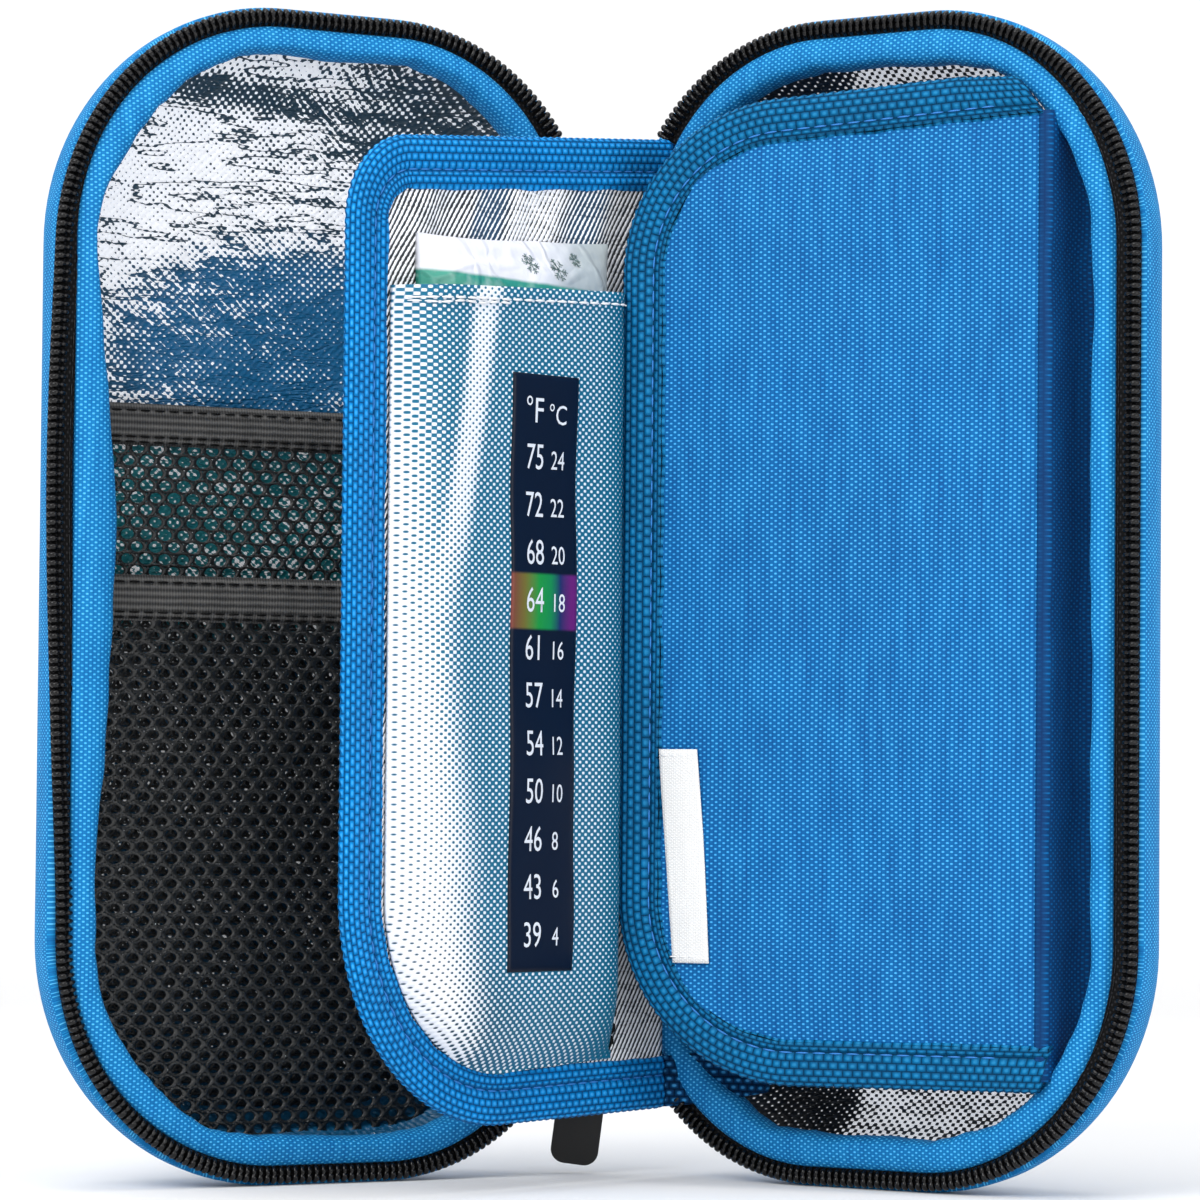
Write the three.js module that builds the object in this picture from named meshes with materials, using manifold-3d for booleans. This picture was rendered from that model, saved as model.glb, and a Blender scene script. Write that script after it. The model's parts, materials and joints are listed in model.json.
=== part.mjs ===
// Insulin cooling case, standing open like a book. Millimetres, +Z up, viewed along +Y.
// Two zipped half shells meet at a vertical spine. The right half carries a hinged page
// with a gel pack and a thermometer strip, and a bound flap over its pen compartment.
// The left half is the cover, and carries two mesh pockets.
import * as THREE from "three";
import { mergeVertices } from "three/addons/utils/BufferGeometryUtils.js";
import Module from "manifold-3d";

const wasm = await Module();
wasm.setup();

const degrees = Math.PI / 180;
const quarterTurn = 90 * degrees;

// Driving sizes of the case.
const caseHeight = 210;
const halfWidth = 108.7;
const halfDepth = 26;
const spineGap = 1.8;
const outerCornerRadius = 43.8;
const spineCornerRadius = 42;
const compartmentAngle = 34.5;
const coverAngle = 30.8;
const seam = 0.3;
const cornerSteps = 8;

// Shell wall, rounded towards a flat back.
const shellWall = 3.5;
const shellLip = 1.6;
const shellCrown = 28;
const liningWall = 1.2;
const crownSteps = 5;

// Zip: a woven tape with a coil, closed on the plane between the halves.
const coilGap = 0.35;
const coilHeight = 1.65;
const coilWidth = 2.5;
const coilInset = 1.4;
const tapeThickness = 0.8;
const tapeWidth = 5.3;
const tapeInset = 0.15;
const zipEndWidth = 8.2;

// Padded facing inside the zip.
const facingWidth = 4.3;
const facingTop = 0.8;
const facingHeight = 6.2;
const facingShoulder = 1.1;

// Fabric strip along the spine.
const spineStripThickness = 0.9;
const spineStripDepth = 7.2;
const spineStripClearance = 0.6;
const spineStripInset = 40;
const foldRadius = 0.4;

// Page, hinged inside the spine edge of the compartment.
const pageHingeInset = 10.8;
const pageAngle = 95.1;
const pageWidth = 86.5;
const pageBottom = 12.8;
const pageTopMargin = 20;
const pageEdgeTopMargin = 27.8;
const pageStraightLength = 28.5;
const pageUpperRadius = 16;
const panelThickness = 1.6;
const bindingWidth = 9.5;
const bindingThickness = 2.6;
const pageLowerCornerWidth = 20;
const pageLowerCornerTop = 38;
const pageUpperCornerWidth = 9;
const pageUpperCornerHeight = 17;
const pageStripMargin = 43;
const pageStripThickness = 0.8;
const pageStripDepth = 5.3;

// Gel pack in the page's pocket.
const packFreeMargin = 16;
const packHeight = 119;
const packThickness = 6.4;
const packSeamHeight = 1.4;
const packEdgeRun = 14;
const packEndRun = 26;
const packDrawIn = 1.3;
const packHingeMargin = 19.5;
const packBottom = 50;
const packSteps = 12;
const packLengthSteps = 20;

// Clear-weave pocket over the gel pack.
const pocketThickness = 0.5;
const pocketHingeMargin = 16;
const pocketBottom = 22.6;
const pocketTopAtHinge = 160;
const pocketTopAtEdge = 157;
const pocketSteps = 12;
const pocketLengthSteps = 10;
const stripSteps = 6;

// Liquid crystal thermometer strip on the pocket.
const stripWidth = 18;
const stripHeight = 105;
const stripThickness = 0.5;
const stripHingeMargin = 35.7;
const stripBottom = 38.2;

// Bound flap over the compartment, and the gusset that joins it to the side wall.
const flapHingeInset = 18.4;
const flapAngle = 14;
const flapFreeMargin = 16.1;
const flapBottom = 18.6;
const flapTopMargin = 14;
const flapCornerRadius = 33;
const flapHingeCornerWidth = 10;
const flapUpperCornerHeight = 9.5;
const flapLowerCornerHeight = 5;
const flapPanelThickness = 1.4;
const flapBindingWidth = 9;
const gussetThickness = 0.8;
const gussetClearance = 0.7;
const gussetFoldDepth = 8;
const gussetDepth = 14.5;
const gussetMargin = 42;
const gussetLean = 1.2;
const labelWidth = 8.8;
const labelHeight = 38;
const labelThickness = 0.4;
const labelEdgeMargin = 4.9;
const labelBottom = 39.5;

// Elastic pen loops on the compartment floor.
const loopCount = 3;
const loopPitch = 17;
const loopSpan = 14;
const loopRise = 9.6;
const loopThickness = 1;
const loopBandHeight = 22;
const lowerLoopBottom = 55;
const upperLoopTopMargin = 55;
const loopSteps = 8;

// Mesh pockets with elastic top bands in the cover.
const meshThickness = 0.6;
const elasticThickness = 1.4;
const frontMeshDepth = 13.2;
const frontElasticBottom = 99.8;
const frontElasticTop = 108.2;
const rearMeshDepth = 17;
const rearElasticBottom = 131.5;
const rearElasticTop = 139;
const meshGapWidth = 6.6;
const meshGapHeight = 5.4;
const meshBar = 1.5;
const meshHemWidth = 2.4;

// Zip slider at the lower end of the zip, and its hanging pull tab.
const sliderLength = 7;
const sliderWidth = 5;
const sliderWing = 1.1;
const sliderPost = 1.2;
const sliderDrop = 2.4;
const sliderOffset = 3;
const sliderBottom = 17.4;
const zipEndBottom = 18;
const zipEndTop = 22;
const earWidth = 0.9;
const earReach = 2.4;
const pinRadius = 0.6;
const eyeRadius = 1.5;
const eyeClearance = 0.35;
const tabWidth = 8.8;
const tabLength = 15;
const tabNeckWidth = 2.2;
const tabNeckLength = 4.4;
const tabThickness = 1.8;
const tabCornerRadius = 2.6;
const tabTilt = 7;

// Shares and counts that shape curves.
const archShare = 0.5;
const halfShare = 0.5;
const gapPointShare = 0.28;
const edgePower = 4;
const spineSideShare = -0.999;
const pinFacets = 12;
const eyeFacets = 16;

// Materials.
const finishes = {
  shellFabric: [0x2f88e0, 0.75, 0],
  foil: [0xc9d3dc, 0.28, 0.85],
  facingFabric: [0x1f77d2, 0.78, 0],
  zipTape: [0x111113, 0.85, 0],
  zipCoil: [0x1b1b1d, 0.4, 0],
  webbing: [0x1a6fc4, 0.8, 0],
  pageFabric: [0xc3ccd4, 0.35, 0.6],
  clearWeave: [0xd9e2ea, 0.3, 0.3],
  gelPack: [0xeaf2f4, 0.3, 0],
  thermometer: [0x0b1530, 0.25, 0],
  label: [0xf2f2f0, 0.6, 0],
  mesh: [0x2c2d2f, 0.8, 0],
  elastic: [0x303133, 0.85, 0],
  sliderMetal: [0x18181a, 0.35, 0.8],
  pullRubber: [0x121214, 0.5, 0],
};

function named(name, finish, geometry) {
  const [color, roughness, metalness] = finishes[finish];
  const material = new THREE.MeshStandardMaterial({ color, roughness, metalness });
  const mesh = new THREE.Mesh(geometry, material);
  mesh.name = name;
  return mesh;
}

// Geometry from points and triangles, wound so that its faces point out.
function closedGeometry(points, triangles) {
  let volume = 0;
  for (const [a, b, c] of triangles) {
    volume += points[a].dot(new THREE.Vector3().crossVectors(points[b], points[c]));
  }
  const geometry = new THREE.BufferGeometry();
  geometry.setFromPoints(points);
  geometry.setIndex(triangles.flatMap(([a, b, c]) => (volume < 0 ? [a, c, b] : [a, b, c])));
  return geometry;
}

// Mirror image of a geometry across its local YZ plane.
function mirrored(geometry) {
  const copy = geometry.index ? geometry.clone() : mergeVertices(geometry);
  copy.scale(-1, 1, 1);
  const index = Array.from(copy.index.array);
  for (let i = 0; i < index.length; i += 3) {
    [index[i + 1], index[i + 2]] = [index[i + 2], index[i + 1]];
  }
  copy.setIndex(index);
  return copy;
}

// Stations round a half's outline, each with its corner centre, direction and radius.
function outlineStations() {
  const left = spineGap;
  const right = spineGap + halfWidth;
  const corners = [
    [right - outerCornerRadius, caseHeight - outerCornerRadius, outerCornerRadius],
    [left + spineCornerRadius, caseHeight - spineCornerRadius, spineCornerRadius],
    [left + spineCornerRadius, spineCornerRadius, spineCornerRadius],
    [right - outerCornerRadius, outerCornerRadius, outerCornerRadius],
  ];
  const stations = [];
  corners.forEach(([u, z, radius], corner) => {
    for (let step = 0; step <= cornerSteps; step += 1) {
      const angle = (corner + step / cornerSteps) * quarterTurn;
      stations.push({ u, z, radius, cos: Math.cos(angle), sin: Math.sin(angle) });
    }
  });
  return stations;
}

const outline = outlineStations();

function ringPoint(station, inset, depth) {
  const reach = station.radius - inset;
  return new THREE.Vector3(station.u + reach * station.cos, depth, station.z + reach * station.sin);
}

// Closed band round the whole outline, from a closed profile of [inset, depth] points.
function closedSweep(profile) {
  const points = outline.flatMap((station) => profile.map(([i, d]) => ringPoint(station, i, d)));
  return closedGeometry(points, loftTriangles(outline.length, profile.length, true));
}

function loftTriangles(rings, size, closed) {
  const triangles = [];
  const last = closed ? rings : rings - 1;
  for (let ring = 0; ring < last; ring += 1) {
    const next = (ring + 1) % rings;
    for (let k = 0; k < size; k += 1) {
      const after = (k + 1) % size;
      const [a, b] = [ring * size + k, ring * size + after];
      const [c, e] = [next * size + k, next * size + after];
      triangles.push([a, b, e], [a, e, c]);
    }
  }
  return triangles;
}

// Open band along some stations, closed by a flat cap at each end.
function openSweep(stations, profile) {
  const points = stations.flatMap((station) => profile.map(([i, d]) => ringPoint(station, i, d)));
  const triangles = loftTriangles(stations.length, profile.length, false);
  const flat = profile.map(([i, d]) => new THREE.Vector2(i, d));
  const end = (stations.length - 1) * profile.length;
  for (const cap of THREE.ShapeUtils.triangulateShape(flat, [])) {
    triangles.push(cap, cap.map((k) => k + end));
  }
  return orientedGeometry(points, triangles);
}

// Closed geometry whose caps may be wound either way, put right from the edges they share.
function orientedGeometry(points, triangles) {
  const wanted = new Map();
  const fixed = [];
  for (const triangle of triangles) {
    const [a, b, c] = triangle;
    const clash = [[a, b], [b, c], [c, a]].some(([p, q]) => wanted.has(`${p},${q}`));
    const kept = clash ? [a, c, b] : [a, b, c];
    kept.forEach((p, k) => wanted.set(`${p},${kept[(k + 1) % kept.length]}`, true));
    fixed.push(kept);
  }
  return closedGeometry(points, fixed);
}

// Bowl round the outline: rings from the outer back, over the rim, to the inner back.
function bowl(chain) {
  const points = [];
  const triangles = [];
  for (const [inset, depth] of chain) {
    points.push(...outline.map((station) => ringPoint(station, inset, depth)));
  }
  const size = outline.length;
  for (let ring = 0; ring < chain.length - 1; ring += 1) {
    for (let k = 0; k < size; k += 1) {
      const after = (k + 1) % size;
      const [a, b] = [ring * size + k, ring * size + after];
      triangles.push([a, b, b + size], [a, b + size, a + size]);
    }
  }
  const middle = new THREE.Vector3(spineGap + halfWidth * halfShare, 0, caseHeight * halfShare);
  const ends = [[0, chain[0][1]], [(chain.length - 1) * size, chain[chain.length - 1][1]]];
  ends.forEach(([start, depth], which) => {
    points.push(middle.clone().setY(depth));
    const centre = points.length - 1;
    for (let k = 0; k < size; k += 1) {
      const [a, b] = [start + k, start + ((k + 1) % size)];
      triangles.push(which === 0 ? [a, centre, b] : [a, b, centre]);
    }
  });
  return closedGeometry(points, triangles);
}

// Prism from an outline in the XZ plane, between two depths.
function panelGeometry(points, near, far, holes = []) {
  const shape = new THREE.Shape(points.map(([x, z]) => new THREE.Vector2(x, z)));
  for (const hole of holes) {
    shape.holes.push(new THREE.Path(hole.map(([x, z]) => new THREE.Vector2(x, z))));
  }
  const geometry = new THREE.ExtrudeGeometry(shape, { depth: far - near, bevelEnabled: false });
  geometry.rotateX(quarterTurn);
  geometry.translate(0, far, 0);
  return geometry;
}

// Prism from a section in the XY plane, between two heights.
function upright(points, bottom, top) {
  const shape = new THREE.Shape(points.map(([x, y]) => new THREE.Vector2(x, y)));
  const geometry = new THREE.ExtrudeGeometry(shape, { depth: top - bottom, bevelEnabled: false });
  geometry.translate(0, 0, bottom);
  return geometry;
}

// Polygon with rounded corners, each edge moved inwards by its own inset.
function roundedPolygon(corners, insets) {
  const count = corners.length;
  const lines = corners.map(([x, z], k) => {
    const [nx, nz] = corners[(k + 1) % count];
    const direction = new THREE.Vector2(nx - x, nz - z).normalize();
    const inward = new THREE.Vector2(-direction.y, direction.x);
    return { origin: new THREE.Vector2(x, z).addScaledVector(inward, insets[k]), direction };
  });
  const points = [];
  for (let k = 0; k < count; k += 1) {
    const before = lines[(k + count - 1) % count];
    const after = lines[k];
    const cross = before.direction.cross(after.direction);
    const offset = after.origin.clone().sub(before.origin);
    const along = offset.cross(after.direction) / cross;
    const corner = before.origin.clone().addScaledVector(before.direction, along);
    const radius = Math.max(corners[k][2] - Math.max(insets[(k + count - 1) % count], insets[k]), 0);
    const turn = Math.acos(THREE.MathUtils.clamp(before.direction.dot(after.direction), -1, 1));
    const run = radius * Math.tan(turn * halfShare);
    const inward = new THREE.Vector2(-before.direction.y, before.direction.x);
    const start = corner.clone().addScaledVector(before.direction, -run);
    const centre = start.clone().addScaledVector(inward, radius);
    const steps = radius > 0 ? cornerSteps : 0;
    for (let step = 0; step <= steps; step += 1) {
      const angle = steps > 0 ? (turn * step) / steps : 0;
      const spoke = start.clone().sub(centre).rotateAround(new THREE.Vector2(), angle);
      points.push([centre.x + spoke.x, centre.y + spoke.y]);
    }
  }
  return points;
}

// Part of a convex outline that lies between two heights.
function between(points, bottom, top) {
  let kept = points;
  for (const [level, sign] of [[bottom, 1], [top, -1]]) {
    const next = [];
    kept.forEach(([x, z], k) => {
      const [px, pz] = kept[(k + kept.length - 1) % kept.length];
      const [inside, wasInside] = [(z - level) * sign >= 0, (pz - level) * sign >= 0];
      if (inside !== wasInside) {
        next.push([px + ((x - px) * (level - pz)) / (z - pz), level]);
      }
      if (inside) {
        next.push([x, z]);
      }
    });
    kept = next;
  }
  return kept;
}

function toManifold(geometry) {
  const bare = geometry.clone();
  bare.deleteAttribute("normal");
  bare.deleteAttribute("uv");
  const merged = mergeVertices(bare);
  const vertProperties = new Float32Array(merged.attributes.position.array);
  const triVerts = new Uint32Array(merged.index.array);
  return new wasm.Manifold(new wasm.Mesh({ numProp: 3, vertProperties, triVerts }));
}

function fromManifold(manifold) {
  const { vertProperties, triVerts } = manifold.getMesh();
  const geometry = new THREE.BufferGeometry();
  geometry.setAttribute("position", new THREE.BufferAttribute(new Float32Array(vertProperties), 3));
  geometry.setIndex(new THREE.BufferAttribute(new Uint32Array(triVerts), 1));
  return geometry;
}

function joined(geometries) {
  const [first, ...rest] = geometries.map(toManifold);
  return fromManifold(rest.reduce((sum, piece) => sum.add(piece), first));
}

function cut(geometry, tool) {
  return fromManifold(toManifold(geometry).subtract(toManifold(tool)));
}

function boxBetween([x0, y0, z0], [x1, y1, z1]) {
  const box = new THREE.BoxGeometry(x1 - x0, y1 - y0, z1 - z0);
  box.translate((x0 + x1) * halfShare, (y0 + y1) * halfShare, (z0 + z1) * halfShare);
  return box;
}

// Depths of the zip, the rim and the wall, counted from the closing plane.
const tapeTop = coilGap + coilHeight + seam;
const rimDepth = tapeTop + tapeThickness + seam;
const crownStart = rimDepth + shellLip;
const crownDepth = halfDepth - crownStart;
const facingInset = tapeInset + tapeWidth + seam;
const facingInner = facingInset + facingWidth;
const facingBase = facingTop + facingHeight;

// Inset and depth of the rounded wall, offset into the case by a thickness.
function wallPoint(offset, angle) {
  return [
    offset + (shellCrown - offset) * (1 - Math.cos(angle)),
    crownStart + (crownDepth - offset) * Math.sin(angle),
  ];
}

function wallAngles(from) {
  const angles = [];
  for (let step = 0; step <= crownSteps; step += 1) {
    angles.push(from + ((quarterTurn - from) * step) / crownSteps);
  }
  return angles;
}

// Section of one face of the lining, from under the facing to the floor.
function liningFace(offset) {
  const start = Math.asin((facingBase + seam - crownStart) / (crownDepth - offset));
  return wallAngles(start).map((angle) => wallPoint(offset, angle));
}

const liningOuter = liningFace(shellWall + seam);
const liningInner = liningFace(shellWall + seam + liningWall);
const liningFloor = halfDepth - shellWall - seam - liningWall;

// Inset of the lining's inner face at a depth, where a sheet reaches the wall.
function liningInset(depth) {
  const next = liningInner.findIndex(([, d]) => d > depth);
  const [[insetA, depthA], [insetB, depthB]] = [liningInner[next - 1], liningInner[next]];
  return insetA + ((insetB - insetA) * (depth - depthA)) / (depthB - depthA);
}

function shellGeometry() {
  const outer = wallAngles(0).map((angle) => wallPoint(0, angle)).reverse();
  const inner = wallAngles(0).map((angle) => wallPoint(shellWall, angle));
  return bowl([...outer, [0, rimDepth], [shellWall, rimDepth], ...inner]);
}

function liningGeometry() {
  return bowl([...liningOuter].reverse().concat(liningInner));
}

function facingGeometry() {
  const root = shellWall + seam + seam;
  return closedSweep([
    [root, rimDepth],
    [facingInset, rimDepth],
    [facingInset, facingTop + facingShoulder],
    [facingInset + facingShoulder, facingTop],
    [facingInner - facingShoulder, facingTop + seam],
    [facingInner - seam, facingTop + facingShoulder + facingShoulder],
    [facingInner, facingBase - facingShoulder - facingShoulder],
    [facingInner - facingShoulder, facingBase],
    [root, facingBase],
  ]);
}

// Stations of the zip, which stops short of the spine at both ends.
const zipStations = zipRun();

function zipRun() {
  const afterSpine = outline.findIndex((station) => station.cos < spineSideShare) + 1;
  const turned = [...outline.slice(afterSpine), ...outline.slice(0, afterSpine)];
  return turned.filter((station) => station.u + station.radius * station.cos > zipEndWidth);
}

function tapeGeometry() {
  return openSweep(zipStations, [
    [tapeInset, tapeTop],
    [tapeInset + tapeWidth, tapeTop],
    [tapeInset + tapeWidth, tapeTop + tapeThickness],
    [tapeInset, tapeTop + tapeThickness],
  ]);
}

function coilGeometry() {
  const bevel = coilHeight * halfShare;
  return openSweep(zipStations, [
    [coilInset, coilGap + bevel],
    [coilInset + bevel, coilGap],
    [coilInset + coilWidth - bevel, coilGap],
    [coilInset + coilWidth, coilGap + bevel],
    [coilInset + coilWidth, coilGap + coilHeight],
    [coilInset, coilGap + coilHeight],
  ]);
}

const spineStripSection = [
  [spineStripClearance, coilGap],
  [spineStripClearance + spineStripThickness, coilGap],
  [spineStripClearance + spineStripThickness, coilGap + spineStripDepth],
  [spineStripClearance, coilGap + spineStripDepth],
];

function spineStripGeometry() {
  const inner = spineStripClearance + spineStripThickness;
  const section = [
    [-foldRadius, 0],
    [0, -foldRadius],
    [foldRadius, 0],
    [spineStripClearance, coilGap],
    [inner, coilGap],
    [inner, coilGap + spineStripDepth],
    [spineStripClearance, coilGap + spineStripDepth],
    [spineStripClearance, coilGap + spineStripThickness],
    [0, foldRadius],
  ];
  return upright(section, spineStripInset, caseHeight - spineStripInset);
}

// Places and widths that follow the case's sizes and the page's own width.
const pageTopAtHinge = caseHeight - pageTopMargin;
const pageTopAtEdge = caseHeight - pageEdgeTopMargin;
const pageLowerRadius = pageWidth - pageStraightLength;
const pageUpperCornerBottom = pageTopAtHinge - pageUpperCornerHeight;
const upperLoopBottom = caseHeight - upperLoopTopMargin - loopBandHeight;
const packWidth = pageWidth - packHingeMargin - packFreeMargin;
const pocketFreeEdge = pageWidth - bindingWidth - seam;
const flapTop = caseHeight - flapTopMargin;
const flapWidth = halfWidth - flapHingeInset - flapFreeMargin;

// The page's outline: hinge edge at x = 0, free edge at x = pageWidth.
const pageCorners = [
  [0, pageBottom, 0],
  [pageWidth, pageBottom, pageLowerRadius],
  [pageWidth, pageTopAtEdge, pageUpperRadius],
  [0, pageTopAtHinge, 0],
];

function alongTop(x) {
  return pageTopAtHinge + ((pageTopAtEdge - pageTopAtHinge) * x) / pageWidth;
}

function pagePanelGeometry() {
  const inset = bindingWidth + seam;
  const [, ...rest] = roundedPolygon(pageCorners, [inset, inset, inset, 0]);
  const points = [
    [0, pageLowerCornerTop + seam],
    [pageLowerCornerWidth + seam, pageLowerCornerTop + seam],
    [pageLowerCornerWidth + seam, pageBottom + inset],
    ...rest.slice(0, -1),
    [pageUpperCornerWidth + seam, alongTop(pageUpperCornerWidth + seam) - inset],
    [pageUpperCornerWidth + seam, pageUpperCornerBottom - seam],
    [0, pageUpperCornerBottom - seam],
  ];
  return panelGeometry(points, -panelThickness * halfShare, panelThickness * halfShare);
}

function pageBindingGeometry() {
  const [, ...outer] = roundedPolygon(pageCorners, [0, 0, 0, 0]);
  const [, ...inner] = roundedPolygon(pageCorners, [bindingWidth, bindingWidth, bindingWidth, 0]);
  const [lower, upper] = [pageLowerCornerWidth + seam, pageUpperCornerWidth + seam];
  const points = [
    [lower, pageBottom],
    ...outer.slice(0, -1),
    [upper, alongTop(upper)],
    [upper, alongTop(upper) - bindingWidth],
    ...inner.slice(0, -1).reverse(),
    [lower, pageBottom + bindingWidth],
  ];
  return panelGeometry(points, -bindingThickness * halfShare, bindingThickness * halfShare);
}

function pageCornerGeometry(width, bottom, top) {
  const half = panelThickness * halfShare;
  const points = [
    [0, bottom(0)],
    [width, bottom(width)],
    [width, top(width)],
    [0, top(0)],
  ];
  return panelGeometry(points, -half, half);
}

// Height of a soft form above its edge: steep at first, then level after a run.
function rise(distance, run) {
  const left = 1 - Math.min(distance / run, 1);
  return Math.sqrt(Math.max(1 - left ** edgePower, 0));
}

// Two faces over one grid, joined round the edge. corner gives x, z, low and high.
function doubleSheet(columns, rows, corner) {
  const points = [];
  const triangles = [];
  for (const side of ["low", "high"]) {
    for (let row = 0; row <= rows; row += 1) {
      for (let column = 0; column <= columns; column += 1) {
        const place = corner(column / columns, row / rows);
        points.push(new THREE.Vector3(place.x, place[side], place.z));
      }
    }
  }
  const size = columns + 1;
  const layer = size * (rows + 1);
  for (let row = 0; row < rows; row += 1) {
    for (let column = 0; column < columns; column += 1) {
      const a = row * size + column;
      triangles.push([a, a + 1, a + size + 1], [a, a + size + 1, a + size]);
      const b = a + layer;
      triangles.push([b, b + size + 1, b + 1], [b, b + size, b + size + 1]);
    }
  }
  const rim = [];
  for (let column = 0; column < columns; column += 1) {
    rim.push(column);
  }
  for (let row = 0; row < rows; row += 1) {
    rim.push(row * size + columns);
  }
  for (let column = columns; column > 0; column -= 1) {
    rim.push(rows * size + column);
  }
  for (let row = rows; row > 0; row -= 1) {
    rim.push(row * size);
  }
  rim.forEach((a, k) => {
    const b = rim[(k + 1) % rim.length];
    triangles.push([a, b + layer, b], [a, a + layer, b + layer]);
  });
  return closedGeometry(points, triangles);
}

const packBase = panelThickness * halfShare + seam;

// Gel pack: crowned, with sides drawn in between its corners.
function packGeometry() {
  const [halfWide, halfTall] = [packWidth * halfShare, packHeight * halfShare];
  const [middleX, middleZ] = [packHingeMargin + halfWide, packBottom + halfTall];
  return doubleSheet(packSteps, packLengthSteps, (across, up) => {
    const s = Math.sin((across - halfShare) * Math.PI);
    const t = Math.sin((up - halfShare) * Math.PI);
    const wide = halfWide - packDrawIn * (1 - t * t);
    const tall = halfTall - packDrawIn * (1 - s * s);
    const fromSide = wide * (1 - Math.abs(s));
    const fromEnd = tall * (1 - Math.abs(t));
    const swell = rise(fromSide, packEdgeRun) * rise(fromEnd, packEndRun);
    return {
      x: middleX + wide * s,
      z: middleZ + tall * t,
      low: packBase + packSeamHeight * (1 - swell),
      high: packBase + packSeamHeight + (packThickness - packSeamHeight) * swell,
    };
  });
}

// Free edge of the pocket at a height, inside the binding's rounded lower corner.
function pocketEdge(z) {
  const radius = pageLowerRadius - bindingWidth - seam;
  const below = Math.min(Math.max(pageBottom + pageLowerRadius - z, 0), radius);
  const corner = pageWidth - pageLowerRadius + Math.sqrt(radius ** 2 - below ** 2);
  return Math.min(pocketFreeEdge, corner);
}

// Height of the pocket's inner face above the page's middle plane.
function pocketHeight(x, z) {
  const fromSide = Math.min(x - pocketHingeMargin, pocketEdge(z) - x);
  const fromEnd = z - pocketBottom;
  const swell = rise(Math.max(fromSide, 0), packEdgeRun) * rise(Math.max(fromEnd, 0), packEndRun);
  return packBase + (packThickness + seam) * swell;
}

function pocketGeometry() {
  return doubleSheet(pocketSteps, pocketLengthSteps, (across, up) => {
    const share = halfShare + halfShare * Math.sin((across - halfShare) * Math.PI);
    const top = pocketTopAtHinge + (pocketTopAtEdge - pocketTopAtHinge) * share;
    const z = pocketBottom + (top - pocketBottom) * up ** 2;
    const x = pocketHingeMargin + (pocketEdge(z) - pocketHingeMargin) * share;
    const low = pocketHeight(x, z);
    return { x, z, low, high: low + pocketThickness };
  });
}

function thermometerGeometry() {
  return doubleSheet(stripSteps, pocketLengthSteps, (across, up) => {
    const x = stripHingeMargin + stripWidth * across;
    const z = stripBottom + stripHeight * up;
    const low = pocketHeight(x, z) + pocketThickness + seam;
    return { x, z, low, high: low + stripThickness };
  });
}

// The flap's outline: hinge edge at x = 0, free edge at x = -flapWidth.
function flapOutline(inset) {
  const corners = [
    [-flapWidth, flapTop, flapCornerRadius],
    [-flapWidth, flapBottom, flapCornerRadius],
    [-flapHingeCornerWidth, flapBottom, 0],
    [0, flapBottom + flapLowerCornerHeight, 0],
    [0, flapTop - flapUpperCornerHeight, 0],
    [-flapHingeCornerWidth, flapTop, 0],
  ];
  return roundedPolygon(corners, [inset, inset, inset, 0, inset, inset]);
}

function flapPanelGeometry() {
  const half = flapPanelThickness * halfShare;
  return panelGeometry(flapOutline(flapBindingWidth + seam), -half, half);
}

function flapBindingGeometry() {
  const half = bindingThickness * halfShare;
  const hingeEdge = ([x]) => x < -seam;
  const outer = flapOutline(0);
  const inner = flapOutline(flapBindingWidth);
  const order = (points) => {
    const start = points.findIndex((point) => !hingeEdge(point)) + 1;
    return [...points.slice(start), ...points.slice(0, start)];
  };
  const [outerRun, innerRun] = [order(outer), order(inner)];
  return panelGeometry([...outerRun, ...innerRun.reverse()], -half, half);
}

function labelGeometry() {
  const near = -bindingThickness * halfShare - seam - labelThickness;
  const start = -flapWidth + labelEdgeMargin;
  const points = [
    [start, labelBottom],
    [start + labelWidth, labelBottom],
    [start + labelWidth, labelBottom + labelHeight],
    [start, labelBottom + labelHeight],
  ];
  return panelGeometry(points, near, near + labelThickness);
}

// Section of a strip of even thickness along a line of points.
function ribbon(line, thickness) {
  const half = thickness * halfShare;
  const sides = line.map(([x, y], k) => {
    const [px, py] = line[Math.max(k - 1, 0)];
    const [nx, ny] = line[Math.min(k + 1, line.length - 1)];
    const across = new THREE.Vector2(py - ny, nx - px).normalize().multiplyScalar(half);
    return [[x + across.x, y + across.y], [x - across.x, y - across.y]];
  });
  return [...sides.map(([first]) => first), ...sides.map(([, second]) => second).reverse()];
}

const flapHinge = spineGap + halfWidth - flapHingeInset;
const pageHinge = spineGap + pageHingeInset;

function gussetGeometry() {
  const wall = spineGap + halfWidth - liningInset(gussetDepth) - seam - gussetThickness;
  const line = [
    [flapHinge, flapPanelThickness * halfShare + gussetClearance],
    [flapHinge + gussetLean, gussetFoldDepth],
    [wall, gussetDepth],
  ];
  return upright(ribbon(line, gussetThickness), gussetMargin, caseHeight - gussetMargin);
}

function pageStripGeometry() {
  const near = spineGap + facingInner + seam;
  const top = panelThickness * halfShare + seam;
  const section = [
    [near, top],
    [near + pageStripThickness, top],
    [near + pageStripThickness, top + pageStripDepth],
    [near, top + pageStripDepth],
  ];
  return upright(section, pageStripMargin, caseHeight - pageStripMargin);
}

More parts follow.
